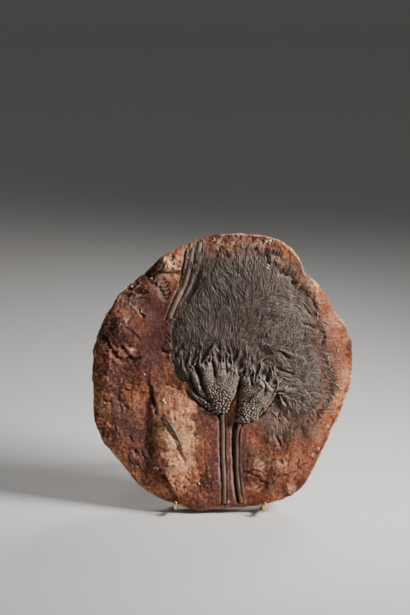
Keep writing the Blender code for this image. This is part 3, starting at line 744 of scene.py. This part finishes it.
fossil_finish, tree, shader = finish("grey_fossil_finish")
place = node(tree, "TexCoord").outputs["Object"]
tint = node(tree, "Attribute", attribute_name="tint").outputs["Fac"]
sunken = node(tree, "Attribute", attribute_name="hollow").outputs["Fac"]
streaks = grain(tree, place, 420, 4, 0.6, 0.3, 0.7)
share = sums(tree, "ADD", sums(tree, "MULTIPLY", tint, 0.8), sums(tree, "MULTIPLY", streaks, 0.35))
ramp = node(tree, "ValToRGB", {"Fac": share})
ramp.color_ramp.elements[0].position = 0.0
ramp.color_ramp.elements[0].color = (0.026, 0.019, 0.016, 1)
ramp.color_ramp.elements[1].position = 1.0
ramp.color_ramp.elements[1].color = (0.330, 0.262, 0.210, 1)
middle = ramp.color_ramp.elements.new(0.5)
middle.color = (0.100, 0.076, 0.062, 1)
colour = mixed(
    tree, sums(tree, "MULTIPLY", grain(tree, place, 36, 5), 0.35), ramp.outputs["Color"],
    (0.110, 0.074, 0.050, 1)
)
colour = mixed(
    tree, sums(tree, "MULTIPLY", grain(tree, place, 60, 5, 0.6, 0.5, 0.7), 0.3), colour,
    (0.062, 0.048, 0.050, 1)
)
dust = sums(
    tree, "MULTIPLY", node(tree, "Attribute", attribute_name="dust").outputs["Fac"],
    grain(tree, place, 170, 5, 0.6, 0.2, 0.6)
)
colour = mixed(
    tree, dust, colour,
    mixed(tree, grain(tree, place, 110, 5), (0.150, 0.055, 0.035, 1), (0.36, 0.160, 0.095, 1))
)
# Painted shade darkens the gaps between the lobes, the plates and the arms by the hollow map
shade = ramped(tree, sunken, 0.0, 0.9, 0.0, 0.85)
colour = mixed(tree, shade, colour, (0.018, 0.013, 0.011, 1))
tree.links.new(colour, shader.inputs["Base Color"])
gloss = ramped(tree, grain(tree, place, 500, 3), 0.0, 1.0, 0.34, 0.62)
tree.links.new(gloss, shader.inputs["Roughness"])
bump = node(
    tree, "Bump", {"Height": grain(tree, place, 1000, 4, 0.6, 0, 1), "Strength": 0.6, "Distance": 0.5 * MM}
)
tree.links.new(bump.outputs["Normal"], shader.inputs["Normal"])


def relief(name, sides, columns, rows, height, nodes, maps):
    """A fine grid spread over four edge curves and raised to a map, closed underneath."""
    span = spread(sides)
    shape = bmesh.new()
    bmesh.ops.create_grid(shape, x_segments=columns, y_segments=rows, size=0.5)
    mesh = bpy.data.meshes.new(name)
    shape.to_mesh(mesh)

    def raised(x, y, z):
        spot = span(x + 0.5, y + 0.5)
        return spot[:, 0], spot[:, 1], height(spot[:, 0], spot[:, 1], x + 0.5, y + 0.5)

    move_points(mesh, raised)
    shape.clear()
    shape.from_mesh(mesh)
    edges = [edge for edge in shape.edges if edge.is_boundary]
    skirt = bmesh.ops.extrude_edge_only(shape, edges=edges)["geom"]
    for vertex in (item for item in skirt if isinstance(item, bmesh.types.BMVert)):
        vertex.co.z = -7.5
    bmesh.ops.contextual_create(shape, geom=[item for item in skirt if isinstance(item, bmesh.types.BMEdge)])
    bmesh.ops.recalc_face_normals(shape, faces=shape.faces)
    shape.to_mesh(mesh)
    shape.free()
    add_piece(mesh, name, fossil_finish, nodes, maps)


def left_cup_height(x, y, across, along):
    """The cups' map, with the arms' joints at the rim, let down at the left edge and the base."""
    height = read(cup_map, x, y) + 1.2 * read(ridges, x, y) * along ** 4
    return height - 2.2 * (1 - eased(across / 0.03)) - 1.5 * (1 - eased(along / 0.05))


def right_cup_height(x, y, across, along):
    """The same for the right cup, let down at its right edge."""
    return left_cup_height(x, y, 1 - across, along)


# The cups' tint varies at random and grows lighter to the right; it is darker where the round plates lie, a
# painted shade for the gaps between them
bead_zone = np.maximum(oval(-2, 134, 28, 22, 0, soft=0.9), oval(29, 126, 24, 20, 20, soft=0.9))
cup_tint = 0.47 + 0.1 * uneven(X, Y, 9, 53, 2) + 0.1 * uneven(X, Y, 2.6, 54)
cup_tint += 0.08 * eased((X - 2) / 14) - 0.3 * bead_zone


def beads(name, sides, top, tries, seed, darkest):
    """Round plates that crowd together without touching, big near the stem and smaller above."""
    span = spread(sides)
    dice = np.random.default_rng(seed)
    spots = np.empty((0, 3))
    shape = bmesh.new()
    for across, along in zip(dice.uniform(0.03, 0.97, tries), dice.uniform(0.01, 1, tries) ** 0.8 * top):
        x, y = span(across, along)
        size = 2.1 - 1.2 * along / top
        gaps = np.hypot(spots[:, 0] - x, spots[:, 1] - y) - 0.82 * (spots[:, 2] + size)
        if len(spots) and gaps.min() < 0:
            continue
        here = np.array([x]), np.array([y])
        if read(fossil_hollow, *here)[0] > 0.6:
            continue
        spots = np.vstack([spots, (x, y, size)])
        slope_x = read(plain, x + 2, y) - read(plain, x - 2, y)
        slope_y = read(plain, x, y + 2) - read(plain, x, y - 2)
        upright = Vector((-slope_x, -slope_y, 4)).to_track_quat("Z", "Y").to_matrix().to_4x4()
        form = Matrix.Diagonal((*(size * dice.uniform(0.85, 1.1, 2)), size * dice.uniform(0.7, 0.95), 1))
        z = read(cup_map, *here)[0] + 0.3 * size - 0.5 * max(along / top - 0.6, 0)
        bmesh.ops.create_icosphere(
            shape, subdivisions=2, radius=1, matrix=Matrix.Translation((x, y, z)) @ upright @ form
        )
    mesh = bpy.data.meshes.new(name)
    shape.to_mesh(mesh)
    shape.free()
    tints = dice.uniform(darkest, 1.0, len(spots)) - 0.1 * (spots[:, 2] < 1.2)
    layer = mesh.attributes.new("tint", "FLOAT", "POINT")
    layer.data.foreach_set("value", np.repeat(tints, len(mesh.vertices) // len(spots)))
    add_piece(mesh, name, fossil_finish)


beads("left_cup_plates", LEFT_CUP, 0.78, 5000, 61, 0.45)
beads("right_cup_plates", RIGHT_CUP, 0.74, 4000, 62, 0.7)


# ---------------------------------------------------------------- the arms
# Hundreds of thin jointed arms fan out from the cups' rims and lie over each other in a mat. The
# mat is a relief of hair-fine grain drawn out along the arms' flow, with single arms laid on it.

FLOW = (
    (-60, 227, 125), (-55, 205, 118), (-50, 187, 112), (-41, 167, 110), (-44, 217, 110), (-38, 199, 105),
    (-30, 191, 97), (-20, 217, 100), (-20, 199, 92), (-8, 193, 90), (-20, 241, 122), (-14, 253, 100),
    (-32, 253, 75), (-26, 289, 88), (-20, 307, 92), (-8, 299, 88), (4, 277, 115), (10, 271, 122),
    (-2, 253, 85), (0, 229, 100), (10, 241, 120), (22, 244, 50), (28, 232, 42), (19, 217, 60),
    (12, 199, 75), (22, 193, 80), (16, 301, 110), (28, 299, 80), (34, 283, 60), (22, 271, 100),
    (-44, 247, 70), (-53, 239, 100), (-32, 271, 80), (5, 191, 88), (31, 191, 94), (-32, 229, 125),
    (40, 295, 95), (48, 283, 80), (52, 271, 100), (43, 253, 65), (40, 229, 48), (40, 205, 38),
    (48, 199, 35), (64, 263, 5), (76, 262, 8), (58, 253, 15), (70, 253, 20), (64, 229, 28),
    (82, 235, 30), (94, 247, -10), (101, 253, -30), (106, 239, -50), (103, 227, -25), (94, 223, 10),
    (76, 211, 60), (82, 199, 45), (64, 211, 60), (40, 186, 96), (48, 191, 50), (58, 179, 105),
    (70, 193, -22), (82, 181, -15), (94, 193, 30), (106, 199, 20), (94, 181, 10), (106, 169, -5),
    (118, 167, -20), (124, 151, -10), (132, 139, -45), (94, 151, 5), (106, 139, -5), (118, 133, -10),
    (82, 154, -5), (76, 133, -60), (88, 127, -80), (94, 115, -100), (70, 109, -110), (58, 109, -60),
    (64, 163, 60), (76, 167, 20), (84, 143, 0),
)
flow_x, flow_y = np.zeros(X.shape), np.zeros(X.shape)
for across, up, heading in FLOW:
    pull = ((X - across) ** 2 + (Y - up) ** 2 + 40) ** -2
    flow_x += pull * math.cos(math.radians(heading))
    flow_y += pull * math.sin(math.radians(heading))
heading = np.arctan2(flow_y, flow_x)
heading += 0.4 * uneven(X, Y, 15, 71, 2) + 0.55 * uneven(X, Y, 6, 72)
flow_x, flow_y = np.cos(heading), np.sin(heading)


def drawn_out(field, reach, step=0.9):
    """A map smeared along the flow, so that its grain turns to hair."""
    total, count = field.copy(), 1
    for sense in (1, -1):
        x, y = X.copy(), Y.copy()
        for _ in range(int(reach / step)):
            x, y = x + sense * step * read(flow_x, x, y), y + sense * step * read(flow_y, x, y)
            total += read(field, x, y)
            count += 1
    return total / count


def traced(x, y, length, count, veer, sway, wave, phase):
    """Lines of count points that follow the flow from their starts, each with its own veer and sway."""
    step = length / (count - 1)
    points = [np.stack([x, y], -1)]
    for k in range(1, count):
        turn = np.arctan2(read(flow_y, x, y), read(flow_x, x, y)) + veer
        turn = turn + sway * np.sin(math.tau * k * step / wave + phase)
        x, y = x + step * np.cos(turn), y + step * np.sin(turn)
        points.append(np.stack([x, y], -1))
    return np.stack(points, 1)


# The thick first joints of the arms run up from the lobes side by side, bow apart and meet again
ridges = np.zeros(X.shape)
dice = np.random.default_rng(91)
for sides, count in ((LEFT_CUP, 22), (RIGHT_CUP, 15)):
    for number, (x, y) in enumerate(smooth_line(sides["rim"], count + 2)[1:-1]):
        arm = traced(
            np.array([x]), np.array([y - 7.0]), dice.uniform(30, 40), 13, dice.normal(0, 0.06),
            (-1) ** number * dice.uniform(0.2, 0.45), dice.uniform(18, 25), math.pi / 2 + dice.normal(0, 0.4),
        )[0]
        for end, width, height in ((13, 0.8, -0.3), (10, 1.1, -0.4), (7, 1.6, -0.6)):
            cut(ridges, arm[:end], width, height, ragged=0.15)
ridges = np.clip(ridges, 0, 1.15)

hair = drawn_out(uneven(X, Y, 1.3, 73) + 0.4 * uneven(X, Y, 3.2, 74), 4)
hair = np.clip(hair / hair[in_mat > 0.5].std() / 2, -1.2, 1.2)
thick = eased(inner + 0.22 * uneven(X, Y, 9, 78, 2))
swell = blurred(plain, 8)
swell += (blurred(plain, 16) - swell) * eased((X - 50) / 30)
wide_level = blurred(np.where(beside > 0, bare, 0.0), 24) / (blurred(beside, 24) + 1e-4)
swell += (wide_level - swell) * 0.9 * eased((X + Y - 300) / 68) - 2.0 * eased((X + Y - 335) / 30)
mat_map = level + (swell - level) * thick - 0.35 + 0.24 * hair + 0.35 * uneven(X, Y, 12, 75, 2) * thick
roots = np.maximum(
    oval(-9, 188, 16, 40, 4, ragged=0.25, soft=0.8), oval(46, 174, 22, 20, 40, ragged=0.3, soft=0.8)
)
mat_map += 2.6 * ridges - 2.2 * roots
for line, width, depth in (
    (((74, 137), (78, 128), (82, 123)), 1.5, 2.6), (((66, 174), (74, 171), (83, 167)), 1.6, 3.2),
    (((71, 194), (75, 190), (78, 187)), 1.5, 2.8), (((95, 228), (101, 226), (107, 223)), 1.5, 2.6),
    (((97, 247), (101, 242), (105, 237)), 1.3, 2.2), (((48, 168), (54, 163), (52, 155)), 3.0, 3.6),
    (((69, 197), (78, 193), (88, 190)), 1.1, -1.8), (((82, 156), (89, 154), (99, 157)), 1.0, -1.4),
    (((-57, 232), (-61, 226), (-60, 218)), 2.0, 1.6), (((-47, 186), (-43, 174), (-38, 160)), 2.0, 2.8),
    (((-12, 272), (-8, 266), (-5, 262)), 1.3, 1.6), (((14, 290), (18, 286), (22, 290)), 1.6, 1.6),
    (((58, 133), (64, 124), (62, 116), (70, 110)), 1.3, 1.4),
):
    cut(mat_map, line, width, depth, ragged=0.8)
edge_fade = np.clip((0.42 - rim_of_mat + 0.2 * uneven(X, Y, 5, 76, 2)) / 0.3, 0, 2)
mat_map -= 1.3 * edge_fade * (1 - 0.85 * np.maximum(corner, buried))
# How far each spot of the mats lies below its surroundings, for the painted shade in their grooves
mat_hollow = np.clip((blurred(mat_map, 1.5) - mat_map) / 1.1, -1, 1)
lighter = 0.16 * eased((X - 20) / 60) + 0.1 * uneven(X, Y, 14, 77, 2)
# The mats' tint: kept darker than the single arms laid on them, a painted shade for the gaps between arms;
# lighter on the hair's crests and the raised first joints and darker over the sunken roots, painted light and
# shade; and lighter towards the right
mat_tint = 0.17 + 0.12 * hair + 0.8 * lighter - 0.12 * roots + 0.35 * ridges
thin = eased((0.75 - thick + 0.35 * uneven(X, Y, 10, 79, 3)) / 0.7)
thin = patches(thin, (
    (120, 140, 26, 10, 10, 0.5), (84, 118, 14, 12, 0, 0.6), (60, 118, 9, 12, 0, 0.4),
    (98, 272, 14, 9, -35, 0.7), (0, 306, 8, 30, 0, 0.4),
), ragged=0.5, soft=1.2)
dust = np.clip(thin, 0, 1) * in_mat + 0.6 * (1 - eased(1.6 * (in_mat + in_cup)))
dust *= 1 - 0.75 * oval(-46, 280, 56, 22, 15, ragged=0.1)

relief(
    "left_cup_lobes", LEFT_CUP, 150, 150, left_cup_height, ["left_cup"],
    {"hollow": fossil_hollow, "tint": cup_tint}
)
relief(
    "right_cup_lobes", RIGHT_CUP, 120, 130, right_cup_height, ["right_cup"],
    {"hollow": fossil_hollow, "tint": cup_tint}
)

LEFT_MAT = {
    "base": LEFT_CUP["rim"],
    "rim": (
        (-51, 156), (-63, 175), (-66, 203), (-63, 229), (-50, 254), (-37, 281), (-28, 306), (-15, 316),
        (4, 319), (28, 319), (49, 317), (72, 310), (89, 296),
    ),
    "left": ((-42, 160), (-51, 156)),
    "right": ((22, 167), (89, 296)),
}
RIGHT_MAT = {
    "base": RIGHT_CUP["rim"],
    "rim": (
        (89, 297), (102, 276), (110, 254), (114, 228), (117, 200), (126, 176), (133, 151), (125, 126),
        (104, 109), (82, 98), (60, 102),
    ),
    "left": ((22.8, 166.6), (89, 297)),
    "right": ((66, 146), (71, 133), (68, 117), (60, 102)),
}


def mat_height(x, y, across, along):
    """The mats' map, which needs no edge of its own."""
    return read(mat_map, x, y)


relief(
    "left_arm_mat", LEFT_MAT, 400, 190, mat_height, ["left_arms"],
    {"hollow": mat_hollow, "tint": mat_tint, "dust": dust}
)
relief(
    "right_arm_mat", RIGHT_MAT, 330, 190, mat_height, ["right_arms"],
    {"hollow": mat_hollow, "tint": mat_tint, "dust": dust}
)


def strands(name, lines, widths, tints, sides=1, material=fossil_finish, slot="grey_fossil"):
    """Closed tubes, one for each line of points, in one piece."""
    curve = bpy.data.curves.new(name, "CURVE")
    curve.dimensions = "3D"
    curve.bevel_depth = 1
    curve.bevel_resolution = sides
    curve.use_fill_caps = True
    for line, width in zip(lines, widths):
        spline = curve.splines.new("POLY")
        spline.points.add(len(line) - 1)
        spline.points.foreach_set("co", np.column_stack([line, np.ones(len(line))]).ravel())
        spline.points.foreach_set("radius", np.asarray(width, float))
    holder = bpy.data.objects.new(name, curve)
    bpy.context.scene.collection.objects.link(holder)
    bpy.context.view_layer.update()
    mesh = bpy.data.meshes.new_from_object(holder.evaluated_get(bpy.context.evaluated_depsgraph_get()))
    bpy.data.objects.remove(holder)
    around = 4 + 2 * sides
    caps = np.repeat(np.asarray(tints)[::-1], 2 * around)
    tubes = np.repeat(tints, [len(line) * around for line in lines])
    layer = mesh.attributes.new("tint", "FLOAT", "POINT")
    layer.data.foreach_set("value", np.concatenate([caps, tubes]))
    shape = bmesh.new()
    shape.from_mesh(mesh)
    bmesh.ops.remove_doubles(shape, verts=shape.verts, dist=1e-4)
    bmesh.ops.recalc_face_normals(shape, faces=shape.faces)
    shape.to_mesh(mesh)
    shape.free()
    return add_piece(mesh, name, material, maps={"dust": 0.6 * dust} if slot == "grey_fossil" else {})


bed = blurred(np.maximum(mat_map, stone), 0.7)
on_left, on_right = (~np.isnan(left_mat)).astype(float), (~np.isnan(right_mat)).astype(float)
on_left = np.maximum(on_left, oval(-34, 280, 32, 8, 14, ragged=0.2))


def arm_layer(name, part, number, lift, seed):
    """Single arms laid at random over one part of the mat."""
    dice = np.random.default_rng(seed)
    x, y = dice.uniform(-66, 136, number * 8), dice.uniform(95, 320, number * 8)
    wanted = read(blurred(part, 1.5), x, y) * (1 - 0.4 * read(roots, x, y))
    wanted *= (1 - 0.85 * read(buried, x, y)) * (1 - 0.6 * read(corner, x, y))
    keep = np.flatnonzero(wanted > dice.uniform(0.3, 0.9, len(x)))[:number]
    x, y = x[keep], y[keep]
    number = len(keep)
    length = dice.uniform(7, 16, number)
    crossing = np.where(dice.random(number) < 0.3, 0.65, 0.18)
    lines = traced(
        x, y, length, 7, crossing * dice.normal(0, 1, number), dice.uniform(0.05, 0.3, number),
        dice.uniform(6, 14, number), dice.uniform(0, math.tau, number),
    )
    share = np.linspace(0, 1, 7)
    rise = (lift + dice.uniform(-0.2, 0.5, number))[:, None] * np.sin(math.pi * share) ** 0.5 - 0.3
    out = read(bed, lines[..., 0], lines[..., 1]) + rise
    width = dice.uniform(0.32, 0.58, number)[:, None]
    width = width * (1 - 0.5 * share ** 1.5) * np.minimum(1, 0.5 + 4 * share)
    tints = 0.31 + 0.11 * dice.normal(0, 1, number) + read(lighter, x, y)
    strands(
        name, [np.column_stack([lines[k], out[k]]) for k in range(number)], width, np.clip(tints, 0.05, 1)
    )


arm_layer("left_lower_arms", on_left, 2300, 0.2, 81)
arm_layer("left_upper_arms", on_left, 2300, 0.7, 83)
arm_layer("right_lower_arms", on_right, 1900, 0.2, 82)
arm_layer("right_upper_arms", on_right, 1900, 0.7, 84)


# Single thick arms that curl over the mat above and beside the right cup
curls = (
    ((43, 164), (46, 175), (52, 183), (60, 178), (62, 170), (55, 163)),
    ((52, 184), (60, 188), (69, 185), (71, 178), (67, 172)), ((54, 182), (58, 174), (59, 166), (53, 160)),
    ((61, 170), (65, 164), (66, 156), (65, 148)), ((68, 197), (77, 193), (84, 190), (92, 186)),
    ((70, 166), (76, 162), (84, 161)), ((40, 179), (46, 184), (54, 188), (64, 192)),
    ((72, 148), (77, 154), (84, 156), (92, 154)), ((76, 145), (84, 151), (94, 151), (102, 154)),
    ((76, 131), (80, 137), (86, 137), (88, 130), (84, 124), (79, 126)), ((96, 150), (102, 143), (106, 134)),
    ((34, 196), (32, 186), (34, 176), (37, 168)), ((88, 146), (98, 142), (108, 146), (118, 142)),
    ((70, 120), (74, 112), (82, 108), (92, 110)), ((58, 124), (64, 118), (66, 112), (60, 106)),
)
lines, widths = [], []
for line in curls:
    path = smooth_line(line, 14)
    lines.append(np.column_stack([path, read(bed, path[:, 0], path[:, 1]) + 0.25]))
    widths.append(0.95 * np.sin(np.linspace(0.35, math.pi - 0.25, 14)) ** 0.5)
dice = np.random.default_rng(95)
x, y = dice.uniform(-50, 122, 900), dice.uniform(115, 300, 900)
wanted = read(on_right + 0.35 * on_left, x, y) * (1 - read(roots, x, y)) * (1 - read(buried, x, y))
for k in np.flatnonzero(wanted * np.exp(-np.hypot(x - 66, y - 190) / 90) > dice.uniform(0.2, 1, 900))[:200]:
    path = traced(
        x[k:k + 1], y[k:k + 1], dice.uniform(10, 22), 12, dice.normal(0, 0.4), dice.uniform(0.5, 1.2),
        dice.uniform(11, 20), dice.uniform(0, math.tau),
    )[0]
    lines.append(np.column_stack([path, read(bed, path[:, 0], path[:, 1]) + 0.45]))
    widths.append(dice.uniform(0.5, 0.8) * np.sin(np.linspace(0.3, math.pi - 0.2, 12)) ** 0.5)
strands("curled_arms", lines, widths, dice.uniform(0.42, 0.78, len(lines)), 2)


# ---------------------------------------------------------------- the stems
# A stem is a stack of thin stone discs, like coins, and each lies half sunk in the plate.

def stem(
    name, line, radius, node_name, pitch=1.5, lift=0.0, taper=1.0, ring=0.07, tint=0.55, seed=1,
    lies_on=plain
):
    """A round stem with a ring at each joint, which follows the stone's face."""
    dice = np.random.default_rng(seed)
    length = float(np.linalg.norm(np.diff(np.array(line, float), axis=0), axis=1).sum())
    count = int(length / pitch) * 3 + 1
    path = smooth_line(line, count)
    share = np.linspace(0, 1, count)
    out = read(blurred(lies_on, 5), path[:, 0], path[:, 1]) + lift - 2.5 * (1 - taper) * share ** 4
    joint = np.where(np.arange(count) % 3 == 0, 1 - ring, 1.0)
    wear = 1 + 0.12 * uneven(path[:, 0], path[:, 1], 11, seed + 5, 3)
    width = radius * joint * wear * (1 + (taper - 1) * share)
    width[0] *= 0.8
    width[-1] *= 0.8
    piece = strands(name, [np.column_stack([path, out])], [width], [tint], 4)
    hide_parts(node_name)


stem("left_lily_stem", LEFT_STEM, 2.8, "left_stem", lift=-1.0, tint=0.44, seed=101)
stem(
    "right_lily_stem", [(across + 0.9, up) for across, up in RIGHT_STEM], 2.6, "right_stem",
    lift=-1.0, tint=0.38, seed=102,
)


# ---------------------------------------------------------------- the loose stems
# Broken lengths of other stems that settled beside the crowns, and one short piece at the lower left.

stem(
    "long_loose_stem",
    ((-35, 317), (-37.5, 305), (-40.5, 290), (-46.5, 270), (-53, 257.6), (-61, 239), (-63, 233)),
    4.2, "loose_stem_long", lift=-2.9, tint=0.5, seed=103,
)
stem(
    "short_loose_stem", ((-27, 323), (-30, 305), (-33, 290), (-38.5, 271), (-46, 256)), 4.8,
    "loose_stem_short", lift=-3.5, taper=0.75, tint=0.52, seed=104,
)
stem(
    "stem_chip", ((-41.5, 318), (-42.8, 306), (-45, 291)), 2.4, "loose_stem_chip", lift=-1.8, tint=0.44,
    seed=105
)
stem("broken_stem", ((-66, 114), (-57, 100), (-50, 86), (-45, 72), (-40, 61)), 2.9, "broken_stem_piece",
     lift=-1.0, taper=0.5, tint=0.34, seed=106, lies_on=stone)


# ---------------------------------------------------------------- specks of calcite
# Small white crystals that sparkle on the stone, each a loose cluster of cut grains.

calcite_finish, tree, shader = finish("calcite_finish")
place = node(tree, "TexCoord").outputs["Object"]
colour = mixed(tree, grain(tree, place, 700, 3), (0.78, 0.62, 0.48, 1), (0.95, 0.90, 0.82, 1))
tree.links.new(colour, shader.inputs["Base Color"])
shader.inputs["Roughness"].default_value = 0.22
shader.inputs["Subsurface Weight"].default_value = 0.15
shader.inputs["Subsurface Radius"].default_value = (0.002, 0.0014, 0.001)

dice = np.random.default_rng(111)
shape = bmesh.new()
for across, up, size in (
    (-59.4, 302.4, 2.6), (-67.8, 293.4, 2.0), (-55.2, 292.8, 2.2), (-85.2, 280.8, 1.5), (-114, 267.6, 1.3),
    (-96, 241.2, 1.3), (-68.9, 135.6, 2.3), (-77.4, 54, 1.9), (-27.6, 34.8, 1.3), (42.6, 309, 1.4),
    (50.4, 324, 1.5), (56, 325, 1.4), (52.2, 295.2, 1.8), (115.2, 78, 1.2), (108, 70.8, 1.2),
    (8.4, 13.2, 1.2),
    (8.4, 217.2, 0.9), (-11, 325.5, 1.3), (-41, 305, 1.1), (-107, 270, 1.0), (-109, 195, 1.2),
    (137, 196, 1.0),
    (126, 106, 1.0), (-92, 166, 0.9), (-60, 60, 1.0), (96, 190, 0.8), (20, 284, 0.9), (60, 307, 1.0),
):
    for _ in range(6):
        x, y = across + dice.normal(0, size * 0.8), up + dice.normal(0, size * 0.8)
        z = float(read(np.maximum(stone, mat_map), np.array([x]), np.array([y]))[0])
        turn = Matrix.Rotation(dice.uniform(0, 6), 4, "Z") @ Matrix.Rotation(dice.uniform(0, 1), 4, "X")
        form = Matrix.Diagonal((*(size * dice.uniform(0.2, 0.7, 3)), 1))
        bmesh.ops.create_icosphere(
            shape, subdivisions=1, radius=1, matrix=Matrix.Translation((x, y, z + 0.2)) @ turn @ form
        )
mesh = bpy.data.meshes.new("calcite_specks")
shape.to_mesh(mesh)
shape.free()
add_piece(mesh, "calcite_specks", calcite_finish).data.shade_flat()


# ---------------------------------------------------------------- the brass stand
# Rod of 4.8 mm brass, bent and soldered: two hooks under the plate's rim, two legs behind it, two
# legs to the rear and three crossbars.

brass_finish, tree, shader = finish("brass_finish")
place = node(tree, "TexCoord").outputs["Object"]
colour = mixed(tree, grain(tree, place, 60, 5), (0.80, 0.56, 0.24, 1), (0.62, 0.40, 0.16, 1))
tree.links.new(colour, shader.inputs["Base Color"])
shader.inputs["Metallic"].default_value = 1.0
gloss = ramped(tree, grain(tree, place, 400, 4), 0.0, 1.0, 0.16, 0.34)
tree.links.new(gloss, shader.inputs["Roughness"])

ROD = 2.4
APART = 2.75
BEHIND = -25 - APART
HOOKS = {"left": -55, "right": 51}
SEAT_UP, LOWER_BAR_UP, UPPER_BAR_UP = 7.4, 26, 205
HOOK_OUT, HOOK_BEND = 2.5, 4
REAR_FOOT, REAR_SPLAY, REAR_BAR = 81, 14, 34


def on_plate(x, y, z):
    """Millimetres of the world as millimetres on the plate."""
    return plate_lean.inverted() @ Vector((x * MM, y * MM, z * MM))


def in_world(across, up, out):
    """Millimetres on the plate as millimetres of the world."""
    return plate_lean @ Vector((across, up, out)) / MM


def rod(name, route, widths=None):
    """A round rod, which stands for the plain model's rod of that name."""
    widths = np.full(len(route), ROD) if widths is None else ROD * np.array(widths)
    piece = strands(name + "_rod", [np.array(route)], [widths], [0.5], 8, brass_finish, "brass")
    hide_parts(name)


joints = []
bar = in_world(0, UPPER_BAR_UP, BEHIND)
rear_legs = []
for side, across in HOOKS.items():
    bend = [math.radians(step * 10) for step in range(1, 10)]
    route = [(across, SEAT_UP, -25), (across, SEAT_UP, HOOK_OUT)]
    for turn in bend:
        rise, out = HOOK_BEND * (1 - math.cos(turn)), HOOK_BEND * math.sin(turn)
        route.append((across, SEAT_UP + rise, HOOK_OUT + out))
    tip = [math.radians(step * 15) for step in range(6)]
    route += [(across, 13.1 + ROD * math.sin(turn), HOOK_OUT + HOOK_BEND) for turn in tip]
    rod(side + "_hook", route, [1] * 11 + [math.cos(turn) for turn in tip])
    top = in_world(across, UPPER_BAR_UP + 2 * ROD, BEHIND)
    foot = Vector((across, top.y - top.z * math.tan(LEAN), 0))
    direction = (foot - top).normalized()
    ankle = foot - direction * (1.5 * ROD / -direction.z)
    rod(side + "_front_leg", [on_plate(*place) for place in (top, ankle, (ankle.x, ankle.y, 0))])
    inward = math.copysign(1, -across)
    centre = Vector((across + inward * 3 * APART, bar.y, bar.z))
    foot = Vector((centre.x - inward * REAR_SPLAY, REAR_FOOT, 0))
    direction = (foot - centre).normalized()
    top = centre + direction * APART
    ankle = foot - direction * (1.5 * ROD / -direction.z)
    rod(side + "_rear_leg", [on_plate(*place) for place in (top, ankle, (ankle.x, ankle.y, 0))])
    rear_legs.append(top.lerp(foot, 1 - REAR_BAR / top.z))
    joints += [Vector((across, up, BEHIND)) for up in (SEAT_UP, LOWER_BAR_UP, UPPER_BAR_UP)]
    joints += [on_plate(*top), on_plate(*rear_legs[-1])]
for name, up in (("lower_crossbar", LOWER_BAR_UP), ("upper_crossbar", UPPER_BAR_UP)):
    rod(name, [(HOOKS["left"] + APART, up, BEHIND), (HOOKS["right"] - APART, up, BEHIND)])
inset = Vector((APART * 1.03, 0, 0))
rod("rear_crossbar", [on_plate(*(rear_legs[0] + inset)), on_plate(*(rear_legs[1] - inset))])

# A bead of solder fills each joint
shape = bmesh.new()
for spot in joints:
    form = Matrix.Diagonal((3.1, 3.1, 2.9, 1))
    bmesh.ops.create_icosphere(shape, subdivisions=4, radius=1, matrix=Matrix.Translation(spot) @ form)
mesh = bpy.data.meshes.new("solder_beads")
shape.to_mesh(mesh)
shape.free()
add_piece(mesh, "solder_beads", brass_finish)
